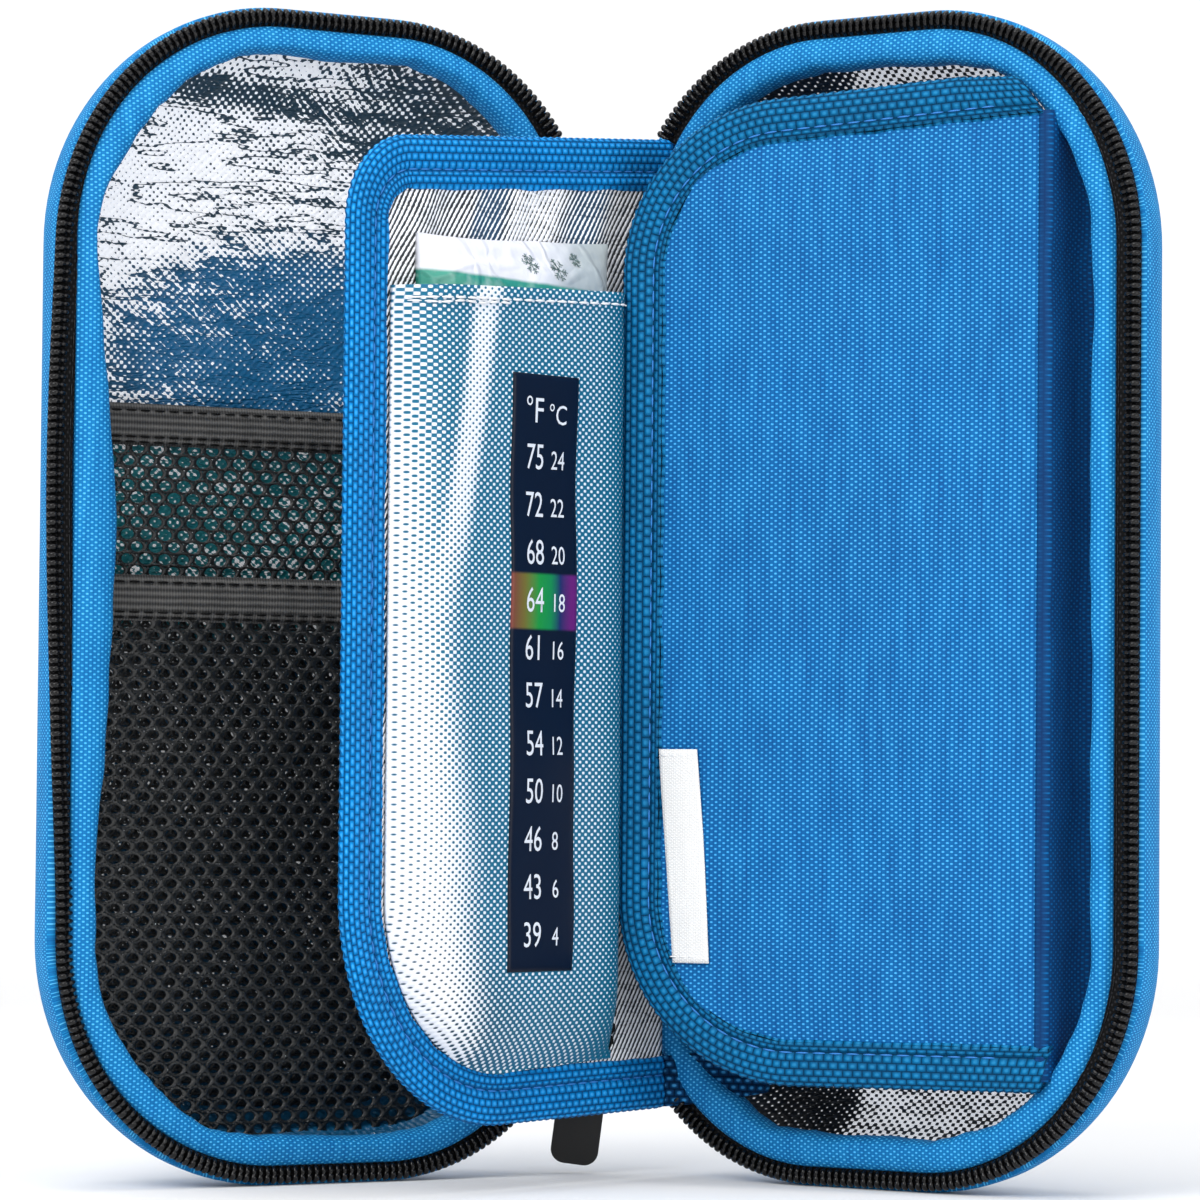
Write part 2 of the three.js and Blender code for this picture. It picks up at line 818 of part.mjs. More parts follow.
function loopGeometry(bottom) {
  const floor = liningFloor - seam - loopThickness * halfShare;
  const middle = spineGap + halfWidth * halfShare;
  const start = middle - loopPitch * loopCount * halfShare;
  const flat = (loopPitch - loopSpan) * halfShare;
  const line = [[start, floor]];
  for (let loop = 0; loop < loopCount; loop += 1) {
    const left = start + loop * loopPitch + flat;
    for (let step = 0; step <= loopSteps; step += 1) {
      const angle = (Math.PI * step) / loopSteps;
      const x = left + loopSpan * halfShare * (1 - Math.cos(angle));
      line.push([x, floor - loopRise * Math.sin(angle) ** archShare]);
    }
  }
  line.push([start + loopPitch * loopCount, floor]);
  return upright(ribbon(line, loopThickness), bottom, bottom + loopBandHeight);
}

// Outline of a pocket sheet at a depth, between two heights.
function sheetOutline(depth, bottom, top) {
  const inset = liningInset(depth) + seam;
  const points = outline.map((station) => {
    const point = ringPoint(station, inset, 0);
    return [point.x, point.z];
  });
  return between(points, bottom, top);
}

function edgeDistance(points, x, z) {
  return Math.min(...points.map(([ax, az], k) => {
    const [bx, bz] = points[(k + 1) % points.length];
    const length = Math.hypot(bx - ax, bz - az);
    return Math.abs((bx - ax) * (z - az) - (bz - az) * (x - ax)) / length;
  }));
}

function inside(points, x, z) {
  return points.every(([ax, az], k) => {
    const [bx, bz] = points[(k + 1) % points.length];
    return (bx - ax) * (z - az) - (bz - az) * (x - ax) > 0;
  });
}

// Net with staggered six-sided gaps above a height, inside a plain hem.
function netGeometry(depth, top, lowestGap) {
  const points = sheetOutline(depth + meshThickness, 0, top);
  const xs = points.map(([x]) => x);
  const zs = points.map(([, z]) => z);
  const [pitchX, pitchZ] = [meshGapWidth + meshBar, (meshGapHeight + meshBar) * (1 - gapPointShare)];
  const middleX = (Math.min(...xs) + Math.max(...xs)) * halfShare;
  const holes = [];
  const rows = Math.floor((Math.max(...zs) - Math.min(...zs)) / pitchZ);
  const columns = Math.ceil(((Math.max(...xs) - Math.min(...xs)) / pitchX) * halfShare);
  const reach = meshGapWidth * halfShare + meshHemWidth;
  for (let row = 0; row < rows; row += 1) {
    const z = Math.max(...zs) - meshHemWidth - meshGapHeight * halfShare - row * pitchZ;
    for (let column = -columns; column <= columns; column += 1) {
      const x = middleX + (column + (row % 2) * halfShare) * pitchX;
      const open = z > lowestGap && inside(points, x, z);
      if (open && edgeDistance(points, x, z) > reach - meshBar) {
        holes.push(gapOutline(x, z));
      }
    }
  }
  return panelGeometry(points, depth, depth + meshThickness, holes);
}

function gapOutline(x, z) {
  const [wide, tall] = [meshGapWidth * halfShare, meshGapHeight * halfShare];
  const side = tall * gapPointShare;
  return [
    [x, z - tall],
    [x - wide, z - side],
    [x - wide, z + side],
    [x, z + tall],
    [x + wide, z + side],
    [x + wide, z - side],
  ];
}

function elasticGeometry(depth, bottom, top) {
  const near = depth + (meshThickness - elasticThickness) * halfShare;
  const deepest = near + elasticThickness;
  return panelGeometry(sheetOutline(deepest, bottom, top), near, deepest);
}

// Round bar along X.
function bar(radius, length, facets) {
  const geometry = new THREE.CylinderGeometry(radius, radius, length, facets);
  geometry.rotateZ(quarterTurn);
  return geometry;
}

// The slider's wing faces and ear tips, and the pin that the tab hangs on.
const wingInner = sliderDrop * halfShare;
const wingOuter = wingInner + sliderWing;
const earTip = wingOuter + earReach;
const pinPlace = {
  y: earTip - pinRadius - pinRadius * halfShare,
  z: sliderBottom + sliderLength * halfShare,
};

// Slider: two wings on a post, with ears and a pin for the tab. +Y faces away from the coil.
function sliderGeometry() {
  const half = sliderWidth * halfShare;
  const halfPost = sliderPost * halfShare;
  const [low, high] = [sliderBottom, sliderBottom + sliderLength];
  const earInner = tabNeckWidth * halfShare + seam;
  const earOuter = earInner + earWidth;
  const [earLow, earHigh] = [pinPlace.z - eyeRadius, pinPlace.z + eyeRadius];
  const pin = bar(pinRadius, earOuter + earOuter, pinFacets);
  pin.translate(0, pinPlace.y, pinPlace.z);
  return joined([
    boxBetween([-half, -wingOuter, low], [half, -wingInner, high]),
    boxBetween([-half, wingInner, low], [half, wingOuter, high]),
    boxBetween([-halfPost, -wingOuter, pinPlace.z], [halfPost, wingOuter, high]),
    boxBetween([-earOuter, wingInner, earLow], [-earInner, earTip, earHigh]),
    boxBetween([earInner, wingInner, earLow], [earOuter, earTip, earHigh]),
    pin,
  ]);
}

// Joined zip end: it leaves the compartment's tape and ends between the slider's wings.
function zipEndGeometry() {
  const turn = new THREE.Vector3(0, 0, 1);
  const start = ringPoint(zipStations[0], tapeInset, 0).x - seam;
  const [near, far] = [tapeTop, tapeTop + tapeThickness].map((depth) => {
    return new THREE.Vector3(start, depth, 0).applyAxisAngle(turn, -compartmentAngle * degrees);
  });
  const half = wingInner - seam;
  const tip = -sliderOffset + sliderPost * halfShare + seam + seam;
  const mouth = -sliderOffset + sliderWidth * halfShare + seam;
  const section = [
    [tip, -half],
    [mouth, -half],
    [near.x, near.y],
    [far.x, far.y],
    [mouth, half],
    [tip, half],
  ];
  return upright(section, zipEndBottom, zipEndTop);
}

// Pull tab: an eye round the slider's pin, a neck and a rounded grip.
function tabGeometry() {
  const half = tabThickness * halfShare;
  const halfNeck = tabNeckWidth * halfShare;
  const halfGrip = tabWidth * halfShare;
  const [top, bottom] = [-tabNeckLength, -tabNeckLength - tabLength];
  const corners = [
    [-halfGrip, bottom, tabCornerRadius],
    [halfGrip, bottom, tabCornerRadius],
    [halfGrip, top, tabCornerRadius],
    [-halfGrip, top, tabCornerRadius],
  ];
  const grip = panelGeometry(roundedPolygon(corners, [0, 0, 0, 0]), -half, half);
  const neck = boxBetween([-halfNeck, -half, top - half], [halfNeck, half, 0]);
  const eye = bar(eyeRadius, tabNeckWidth, eyeFacets);
  const hole = bar(pinRadius + eyeClearance, tabNeckWidth + tabNeckWidth, eyeFacets);
  const tab = cut(joined([grip, neck, eye]), hole);
  tab.translate(0, pinPlace.y, pinPlace.z);
  return tab;
}

// Compartment half: shell, lining, zip side, pen loops, and the page's and flap's carriers.
const compartment = new THREE.Group();
compartment.rotation.z = -compartmentAngle * degrees;
compartment.add(named("compartment_shell", "shellFabric", shellGeometry()));
compartment.add(named("compartment_foil_lining", "foil", liningGeometry()));
compartment.add(named("compartment_rim_facing", "facingFabric", facingGeometry()));
compartment.add(named("compartment_zip_tape", "zipTape", tapeGeometry()));
compartment.add(named("compartment_zip_coil", "zipCoil", coilGeometry()));
compartment.add(named("spine_strip", "shellFabric", spineStripGeometry()));
compartment.add(named("pen_loops_lower", "elastic", loopGeometry(lowerLoopBottom)));
compartment.add(named("pen_loops_upper", "elastic", loopGeometry(upperLoopBottom)));
compartment.add(named("flap_gusset", "facingFabric", gussetGeometry()));
compartment.add(named("page_hinge_strip", "facingFabric", pageStripGeometry()));

// Page: bound panel, gel pack, pocket and thermometer, with soft corners at the hinge.
const lowerCorner = pageCornerGeometry(pageLowerCornerWidth, () => pageBottom, () => pageLowerCornerTop);
const upperCorner = pageCornerGeometry(pageUpperCornerWidth, () => pageUpperCornerBottom, alongTop);
const page = new THREE.Group();
page.position.x = pageHinge;
page.rotation.z = -pageAngle * degrees;
page.add(named("page_panel", "pageFabric", pagePanelGeometry()));
page.add(named("page_binding", "webbing", pageBindingGeometry()));
page.add(named("page_lower_corner", "webbing", lowerCorner));
page.add(named("page_upper_corner", "webbing", upperCorner));
page.add(named("ice_pack", "gelPack", packGeometry()));
page.add(named("page_pocket", "clearWeave", pocketGeometry()));
page.add(named("thermometer_strip", "thermometer", thermometerGeometry()));
compartment.add(page);

// Flap over the compartment, with its sewn label.
const flap = new THREE.Group();
flap.position.x = flapHinge;
flap.rotation.z = flapAngle * degrees;
flap.add(named("flap_panel", "facingFabric", flapPanelGeometry()));
flap.add(named("flap_binding", "webbing", flapBindingGeometry()));
flap.add(named("flap_label", "label", labelGeometry()));
compartment.add(flap);

// Cover half: the compartment's mirror image, with the mesh pockets.
const cover = new THREE.Group();
cover.rotation.z = coverAngle * degrees;
const coverStrip = upright(spineStripSection, spineStripInset, caseHeight - spineStripInset);
const rearNet = netGeometry(rearMeshDepth, rearElasticBottom - seam, frontElasticBottom);
const frontNet = netGeometry(frontMeshDepth, frontElasticBottom - seam, 0);
const rearElastic = elasticGeometry(rearMeshDepth, rearElasticBottom, rearElasticTop);
const frontElastic = elasticGeometry(frontMeshDepth, frontElasticBottom, frontElasticTop);
cover.add(named("cover_shell", "shellFabric", mirrored(shellGeometry())));
cover.add(named("cover_foil_lining", "foil", mirrored(liningGeometry())));
cover.add(named("cover_rim_facing", "facingFabric", mirrored(facingGeometry())));
cover.add(named("cover_zip_tape", "zipTape", mirrored(tapeGeometry())));
cover.add(named("cover_zip_coil", "zipCoil", mirrored(coilGeometry())));
cover.add(named("cover_spine_strip", "shellFabric", mirrored(coverStrip)));
cover.add(named("rear_mesh_pocket", "mesh", mirrored(rearNet)));
cover.add(named("rear_pocket_elastic", "elastic", mirrored(rearElastic)));
cover.add(named("front_mesh_pocket", "mesh", mirrored(frontNet)));
cover.add(named("front_pocket_elastic", "elastic", mirrored(frontElastic)));

// Slider and pull tab at the lower end of the zip, turned a little as they hang.
const slider = new THREE.Group();
slider.position.x = -sliderOffset;
const hang = new THREE.Group();
hang.position.set(0, pinPlace.y, pinPlace.z);
hang.rotation.y = tabTilt * degrees;
const hung = new THREE.Group();
hung.position.set(0, -pinPlace.y, -pinPlace.z);
hung.add(named("zip_slider", "sliderMetal", sliderGeometry()));
hung.add(named("pull_tab", "pullRubber", tabGeometry()));
hang.add(hung);
slider.add(hang);

const coolingCase = new THREE.Group();
coolingCase.add(compartment, cover, slider, named("zip_end_tape", "zipTape", zipEndGeometry()));

// The origin is the middle of the box round the open case, on the surface that it stands on.
coolingCase.updateMatrixWorld(true);
const reach = new THREE.Box3().setFromObject(coolingCase, true);
const middle = reach.getCenter(new THREE.Vector3());
coolingCase.position.set(-middle.x, -middle.y, 0);

export default coolingCase;
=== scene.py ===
"""Dressed model of an insulin cooling case that stands open like a book.

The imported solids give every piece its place. Local sizes are in millimetres, and the
meshes are in metres in the frame of the solids. Each half has a local frame: x runs
from the spine to the outer side, y is the depth behind the closing plane, z is up.
"""
from __future__ import annotations

import json
import logging
import math
from dataclasses import dataclass
from enum import Enum
from typing import Any, Callable, Sequence

import bmesh
import bpy
import numpy as np
from mathutils import Matrix, Vector, noise

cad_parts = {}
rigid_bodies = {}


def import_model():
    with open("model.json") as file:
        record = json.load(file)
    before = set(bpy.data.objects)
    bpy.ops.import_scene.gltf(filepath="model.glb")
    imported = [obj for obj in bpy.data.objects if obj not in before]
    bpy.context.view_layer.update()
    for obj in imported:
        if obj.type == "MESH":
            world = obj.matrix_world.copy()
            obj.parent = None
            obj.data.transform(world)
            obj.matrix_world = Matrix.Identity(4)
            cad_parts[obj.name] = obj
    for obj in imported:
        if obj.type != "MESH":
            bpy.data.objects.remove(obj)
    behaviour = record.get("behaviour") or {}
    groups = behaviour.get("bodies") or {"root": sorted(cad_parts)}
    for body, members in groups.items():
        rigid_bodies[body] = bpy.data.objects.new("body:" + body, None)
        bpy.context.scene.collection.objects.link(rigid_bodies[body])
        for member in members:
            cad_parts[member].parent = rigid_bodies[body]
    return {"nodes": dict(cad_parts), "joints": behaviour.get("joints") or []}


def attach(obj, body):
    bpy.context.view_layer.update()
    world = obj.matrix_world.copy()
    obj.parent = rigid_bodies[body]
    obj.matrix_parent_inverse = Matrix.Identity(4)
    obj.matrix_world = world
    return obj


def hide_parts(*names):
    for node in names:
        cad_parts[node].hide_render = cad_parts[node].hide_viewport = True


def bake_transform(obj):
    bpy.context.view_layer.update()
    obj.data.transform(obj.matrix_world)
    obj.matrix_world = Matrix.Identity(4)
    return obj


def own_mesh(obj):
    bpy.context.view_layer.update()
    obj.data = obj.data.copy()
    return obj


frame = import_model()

Faces = list[tuple[int, ...]]
Colour = tuple[float, float, float]

LOG = logging.getLogger("cooling_case")
MILLI = 0.001
FULL_TURN = 2 * math.pi


def joint_place(name: str) -> np.ndarray:
    """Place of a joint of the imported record, in millimetres.

    Args:
        name: The joint's name.

    Returns:
        Its x, y and z.
    """
    found = next(joint for joint in frame["joints"] if joint["name"] == name)
    return np.array(found["pos_m"], float) / MILLI


@dataclass(frozen=True)
class Place:
    """A local frame in millimetres: x along, y deep, z up."""

    origin: np.ndarray
    along: np.ndarray
    deep: np.ndarray

    def world(self, points: np.ndarray) -> np.ndarray:
        """Points of this frame in metres in the frame of the solids.

        Args:
            points: Local x, y and z, one row each.

        Returns:
            The same rows in the frame of the solids.
        """
        flat = self.origin + points[:, :1] * self.along + points[:, 1:2] * self.deep
        return np.column_stack([flat, points[:, 2]]) * MILLI

    def child(self, x: float, y: float, degrees: float) -> "Place":
        """A frame set in this one.

        Args:
            x: Its place along.
            y: Its place in depth.
            degrees: How far it is turned about the upright axis.

        Returns:
            The frame.
        """
        cos, sin = math.cos(math.radians(degrees)), math.sin(math.radians(degrees))
        origin = self.origin + x * self.along + y * self.deep
        return Place(origin, cos * self.along + sin * self.deep, cos * self.deep - sin * self.along)


@dataclass(frozen=True)
class CaseSizes:
    """Sizes that both halves share, in millimetres and degrees."""

    height: float = 210.0
    width: float = 108.7
    spine_gap: float = 1.8
    depth: float = 26.0
    outer_radius: float = 43.8
    spine_radius: float = 42.0
    compartment_angle: float = 34.5
    cover_angle: float = 30.8
    page_hinge: float = 12.6
    page_angle: float = 95.1
    flap_hinge: float = 92.1
    flap_angle: float = 14.0
    lip_depth: float = 5.0
    rim_depth: float = 3.4
    crown_run: float = 28.0

    @property
    def outer(self) -> float:
        """Place of the outer side."""
        return self.spine_gap + self.width

    @property
    def middle(self) -> float:
        """Middle of a half, across."""
        return self.spine_gap + self.width / 2


SIZES = CaseSizes()
SPINE = joint_place("cover_hinge")[:2]


def half_place(degrees: float, side: int) -> Place:
    """Local frame of one half.

    Args:
        degrees: How far the half is turned from the picture's plane.
        side: 1 for the compartment, -1 for the cover.

    Returns:
        The half's frame.
    """
    cos, sin = math.cos(math.radians(degrees)), math.sin(math.radians(degrees))
    return Place(SPINE, np.array([side * cos, -sin]), np.array([side * sin, cos]))


COMPARTMENT = half_place(SIZES.compartment_angle, 1)
COVER = half_place(SIZES.cover_angle, -1)
PAGE = COMPARTMENT.child(SIZES.page_hinge, 0, -SIZES.page_angle)
FLAP = COMPARTMENT.child(SIZES.flap_hinge, 0, SIZES.flap_angle)


@dataclass
class Form:
    """Points in a local frame, faces, and the cloth's own flat coordinates."""

    points: np.ndarray
    faces: Faces
    grain: np.ndarray

    def plus(self, other: "Form") -> "Form":
        """This form and another one, as one."""
        faces = self.faces + shifted(other.faces, len(self.points))
        return Form(np.vstack([self.points, other.points]), faces, np.vstack([self.grain, other.grain]))


def shifted(faces: Faces, by: int) -> Faces:
    """The same faces over points that start at another number."""
    return [tuple(k + by for k in face) for face in faces]


def upright(flat: np.ndarray, depth: Any) -> np.ndarray:
    """Local points from rows of x and z at a depth, one for all or one a row."""
    return np.column_stack([flat[:, 0], np.broadcast_to(depth, len(flat)), flat[:, 1]])


def cloth(flat: np.ndarray, depth: np.ndarray, faces: Faces) -> Form:
    """A form over rows of x and z whose flat coordinates are its x and z."""
    return Form(upright(flat, depth), faces, np.column_stack([flat, np.zeros(len(flat))]))


def rows_of(xs: np.ndarray, zs: np.ndarray) -> np.ndarray:
    """Rows of x and z from two grids."""
    return np.column_stack([xs.ravel(), zs.ravel()])


def running(line: np.ndarray) -> np.ndarray:
    """Running length at each point of a line."""
    return np.concatenate([[0.0], np.cumsum(np.linalg.norm(np.diff(line, axis=0), axis=1))])


def sample(at: np.ndarray, run: np.ndarray, rows: np.ndarray) -> np.ndarray:
    """Rows along a line, read at some running lengths."""
    return np.column_stack([np.interp(at, run, column) for column in rows.T])


def rough(points: np.ndarray, size: float, seed: float) -> np.ndarray:
    """Smooth noise at points, about -1 to 1.

    Args:
        points: Rows of two or three numbers.
        size: Length of the bumps, in the points' unit.
        seed: Offset that picks another pattern.

    Returns:
        One number a row.
    """
    wide = np.zeros((len(points), 3))
    wide[:, : points.shape[1]] = points / size
    wide += seed
    return np.array([noise.noise(Vector(row)) for row in wide]) * 1.6


def rough_grid(xs: np.ndarray, zs: np.ndarray, size: float, seed: float) -> np.ndarray:
    """Smooth noise over a grid of x and z."""
    return rough(rows_of(xs, zs), size, seed).reshape(xs.shape)


def grid_faces(rows: int, columns: int, round_rows: bool = False, round_columns: bool = False) -> Faces:
    """Quads over a grid of points stored row by row.

    Args:
        rows: Points along the first direction.
        columns: Points along the second direction.
        round_rows: Whether the last row joins the first.
        round_columns: Whether the last column joins the first.

    Returns:
        The faces.
    """
    faces = []
    for row in range(rows if round_rows else rows - 1):
        here, down = row * columns, (row + 1) % rows * columns
        for column in range(columns if round_columns else columns - 1):
            right = (column + 1) % columns
            faces.append((here + column, here + right, down + right, down + column))
    return faces


def tube_faces(rings: int, sides: int) -> Faces:
    """Faces of a tube of rings, closed by one face at each end.

    Args:
        rings: How many rings it has.
        sides: Points of a ring.

    Returns:
        The faces.
    """
    last = (rings - 1) * sides
    ends = [tuple(range(sides)), tuple(last + k for k in reversed(range(sides)))]
    return grid_faces(rings, sides, False, True) + ends


def grid_loop(rows: int, columns: int) -> list[int]:
    """The way round a grid's edge.

    Args:
        rows: Points along the first direction.
        columns: Points along the second direction.

    Returns:
        Numbers of the edge's points, in order.
    """
    last = columns - 1
    loop = list(range(columns)) + [row * columns + last for row in range(1, rows)]
    loop += [(rows - 1) * columns + k for k in range(last - 1, -1, -1)]
    return loop + [row * columns for row in range(rows - 2, 0, -1)]


@dataclass(frozen=True)
class Rail:
    """A run of points in a local XZ plane, with inward normals and running length."""

    points: np.ndarray
    normals: np.ndarray
    arc: np.ndarray
    closed: bool
    marks: list[int]

    def between(self, low: float, high: float) -> "Rail":
        """The open part of this rail between two running lengths."""
        kept = (self.arc >= low) & (self.arc <= high)
        return Rail(self.points[kept], self.normals[kept], self.arc[kept], False, [])


def make_rail(corners: Sequence[tuple[float, float, float]], closed: bool, spacing: float) -> Rail:
    """A rail through corners.

    Args:
        corners: x, z and radius of each corner, counter-clockwise.
        closed: Whether the rail returns to its start.
        spacing: Longest step between points.

    Returns:
        The rail, with the middle of each corner marked.
    """
    places = np.array([corner[:2] for corner in corners], float)
    points: list[np.ndarray] = []
    normals: list[np.ndarray] = []
    middles: list[np.ndarray] = []
    count = len(corners)
    for k, (x, z, radius) in enumerate(corners):
        here = np.array([x, z])
        ahead = places[(k + 1) % count] - here
        behind = here - places[k - 1]
        if not closed and k == 0:
            behind = ahead
        if not closed and k == count - 1:
            ahead = behind
        ahead, behind = ahead / np.linalg.norm(ahead), behind / np.linalg.norm(behind)
        turn = math.atan2(behind[0] * ahead[1] - behind[1] * ahead[0], float(behind @ ahead))
        inward = np.array([-behind[1], behind[0]])
        centre = here - behind * radius * math.tan(turn / 2) + inward * radius
        steps = max(int(abs(turn) * radius / spacing), 2) if radius > 0 else 0
        arc = []
        for step in range(steps + 1):
            angle = turn * step / steps if steps else 0.0
            cos, sin = math.cos(angle), math.sin(angle)
            normal = np.array([cos * inward[0] - sin * inward[1], sin * inward[0] + cos * inward[1]])
            arc.append((centre - normal * radius, normal))
        middles.append(arc[len(arc) // 2][0])
        points.extend(point for point, _ in arc)
        normals.extend(normal for _, normal in arc)
    filled, turned = [], []
    last = len(points) if closed else len(points) - 1
    for k in range(last):
        after = (k + 1) % len(points)
        gap = float(np.linalg.norm(points[after] - points[k]))
        pieces = max(int(math.ceil(gap / spacing)), 1)
        for piece in range(pieces):
            share = piece / pieces
            filled.append(points[k] * (1 - share) + points[after] * share)
            turned.append(normals[k] * (1 - share) + normals[after] * share)
    if not closed:
        filled.append(points[-1])
        turned.append(normals[-1])
    line = np.array(filled)
    keep = np.ones(len(line), bool)
    keep[1:] = np.linalg.norm(np.diff(line, axis=0), axis=1) > 1e-6
    line, across = line[keep], np.array(turned)[keep]
    across /= np.linalg.norm(across, axis=1)[:, None]
    arc = running(line)
    marks = [int(np.argmin(np.linalg.norm(line - middle, axis=1))) for middle in middles]
    return Rail(line, across, arc, closed, marks)


def half_rail(inset: float, spacing: float) -> Rail:
    """Outline of a half, moved inwards.

    Args:
        inset: How far inside the outline.
        spacing: Longest step between points.

    Returns:
        The closed rail, starting at the spine's lower corner.
    """
    left, right = SIZES.spine_gap + inset, SIZES.outer - inset
    low, high = inset, SIZES.height - inset
    spine, outer = SIZES.spine_radius - inset, SIZES.outer_radius - inset
    corners = [(left, low, spine), (right, low, outer), (right, high, outer), (left, high, spine)]
    return make_rail(corners, True, spacing)


def edge_distance(x: np.ndarray, z: np.ndarray) -> np.ndarray:
    """Distance from points of a half to its outline.

    Args:
        x: Distances from the spine.
        z: Heights.

    Returns:
        The distances, positive inside.
    """
    radius = np.where(x > SIZES.middle, SIZES.outer_radius, SIZES.spine_radius)
    over = np.abs(x - SIZES.middle) - (SIZES.width / 2 - radius)
    above = np.abs(z - SIZES.height / 2) - (SIZES.height / 2 - radius)
    outside = np.hypot(np.maximum(over, 0), np.maximum(above, 0))
    return radius - outside - np.minimum(np.maximum(over, above), 0)


def sweep(rail: Rail, section: Callable[[int], np.ndarray]) -> Form:
    """A closed section carried along a rail.

    Args:
        rail: Where it runs.
        section: Rows of inset and depth for the rail's point of that number.

    Returns:
        The swept form, with flat end faces where the rail is open.
    """
    points, grain = [], []
    for k, arc in enumerate(rail.arc):
        profile = section(k)
        points.append(upright(rail.points[k] + profile[:, :1] * rail.normals[k], profile[:, 1]))
        grain.append(np.column_stack([np.full(len(profile), arc), running(profile), profile[:, 0]]))
    count, size = len(points), len(points[0])
    faces = grid_faces(count, size, True, True) if rail.closed else tube_faces(count, size)
    return Form(np.vstack(points), faces, np.vstack(grain))


def patch(rail: Rail, rows: int, columns: int, crowd: float) -> tuple[np.ndarray, np.ndarray]:
    """A grid of points inside a closed rail of four corners, from its four sides.

    Args:
        rail: The outline.
        rows: Steps along the second side.
        columns: Steps along the first side.
        crowd: From 0 for even steps to 1 for steps that crowd at the outline.

    Returns:
        x and z of the points, rows by columns.
    """

    def steps(count: int) -> np.ndarray:
        """Shares of a side."""
        even = np.linspace(0, 1, count + 1)
        return even * (1 - crowd) + crowd * (0.5 - 0.5 * np.cos(math.pi * even))

    def side(corner: int, count: int) -> np.ndarray:
        """Points from one corner to the next.

        Args:
            corner: Number of the first corner.
            count: Steps between them.

        Returns:
            Rows of x and z.
        """
        start, end, total = rail.marks[corner], rail.marks[(corner + 1) % 4], len(rail.points)
        line = rail.points[[(start + k) % total for k in range((end - start) % total + 1)]]
        run = running(line)
        return sample(steps(count) * run[-1], run, line)

    low, right = side(0, columns), side(1, rows)
    high, left = side(2, columns)[::-1], side(3, rows)[::-1]
    s, t = steps(columns)[None, :, None], steps(rows)[:, None, None]
    grid = (1 - t) * low[None] + t * high[None] + (1 - s) * left[:, None] + s * right[:, None]
    grid -= (1 - s) * (1 - t) * low[0] + s * (1 - t) * low[-1] + s * t * high[-1] + (1 - s) * t * high[0]
    return grid[..., 0], grid[..., 1]


class Signal:
    """One value in a material; arithmetic on it adds the Math nodes."""

    def __init__(self, recipe: "Recipe", socket: Any) -> None:
        """Keeps the material's recipe and the socket or number."""
        self.recipe = recipe
        self.socket = socket

    def apply(self, operation: str, *others: "Signal | float") -> "Signal":
        """This value and others through one Math node."""
        return self.recipe.maths(operation, self, *others)

    def __add__(self, other: "Signal | float") -> "Signal":
        """Sum."""
        return self.apply("ADD", other)

    __radd__ = __add__

    def __mul__(self, other: "Signal | float") -> "Signal":
        """Product."""
        return self.apply("MULTIPLY", other)

    def __sub__(self, other: "Signal | float") -> "Signal":
        """Difference."""
        return self.apply("SUBTRACT", other)

    def __rsub__(self, other: float) -> "Signal":
        """Difference from a number."""
        return self.recipe.maths("SUBTRACT", other, self)

    def __truediv__(self, other: "Signal | float") -> "Signal":
        """Quotient."""
        return self.apply("DIVIDE", other)

    def __pow__(self, power: float) -> "Signal":
        """Power."""
        return self.apply("POWER", power)

    def cosine(self, length: float) -> "Signal":
        """Cosine wave of a length, from -1 to 1."""
        return (self * (FULL_TURN / length)).apply("COSINE")

    def magnitude(self) -> "Signal":
        """Value without its sign."""
        return self.apply("ABSOLUTE")

    def clamped(self) -> "Signal":
        """Value kept from 0 to 1."""
        return self.recipe.maths("ADD", self, 0.0, clamp=True)

    def ramp(self, low: float, high: float) -> "Signal":
        """Smooth step from 0 at low to 1 at high."""
        values = {"Value": self, "From Min": low, "From Max": high}
        node = self.recipe.node("ShaderNodeMapRange", {"interpolation_type": "SMOOTHSTEP"}, values)
        return Signal(self.recipe, node.outputs["Result"])

    def within(self, low: float, high: float, soft: float) -> "Signal":
        """1 between low and high, falling to 0 over a soft edge."""
        return self.ramp(low - soft, low + soft) * (1 - self.ramp(high - soft, high + soft))


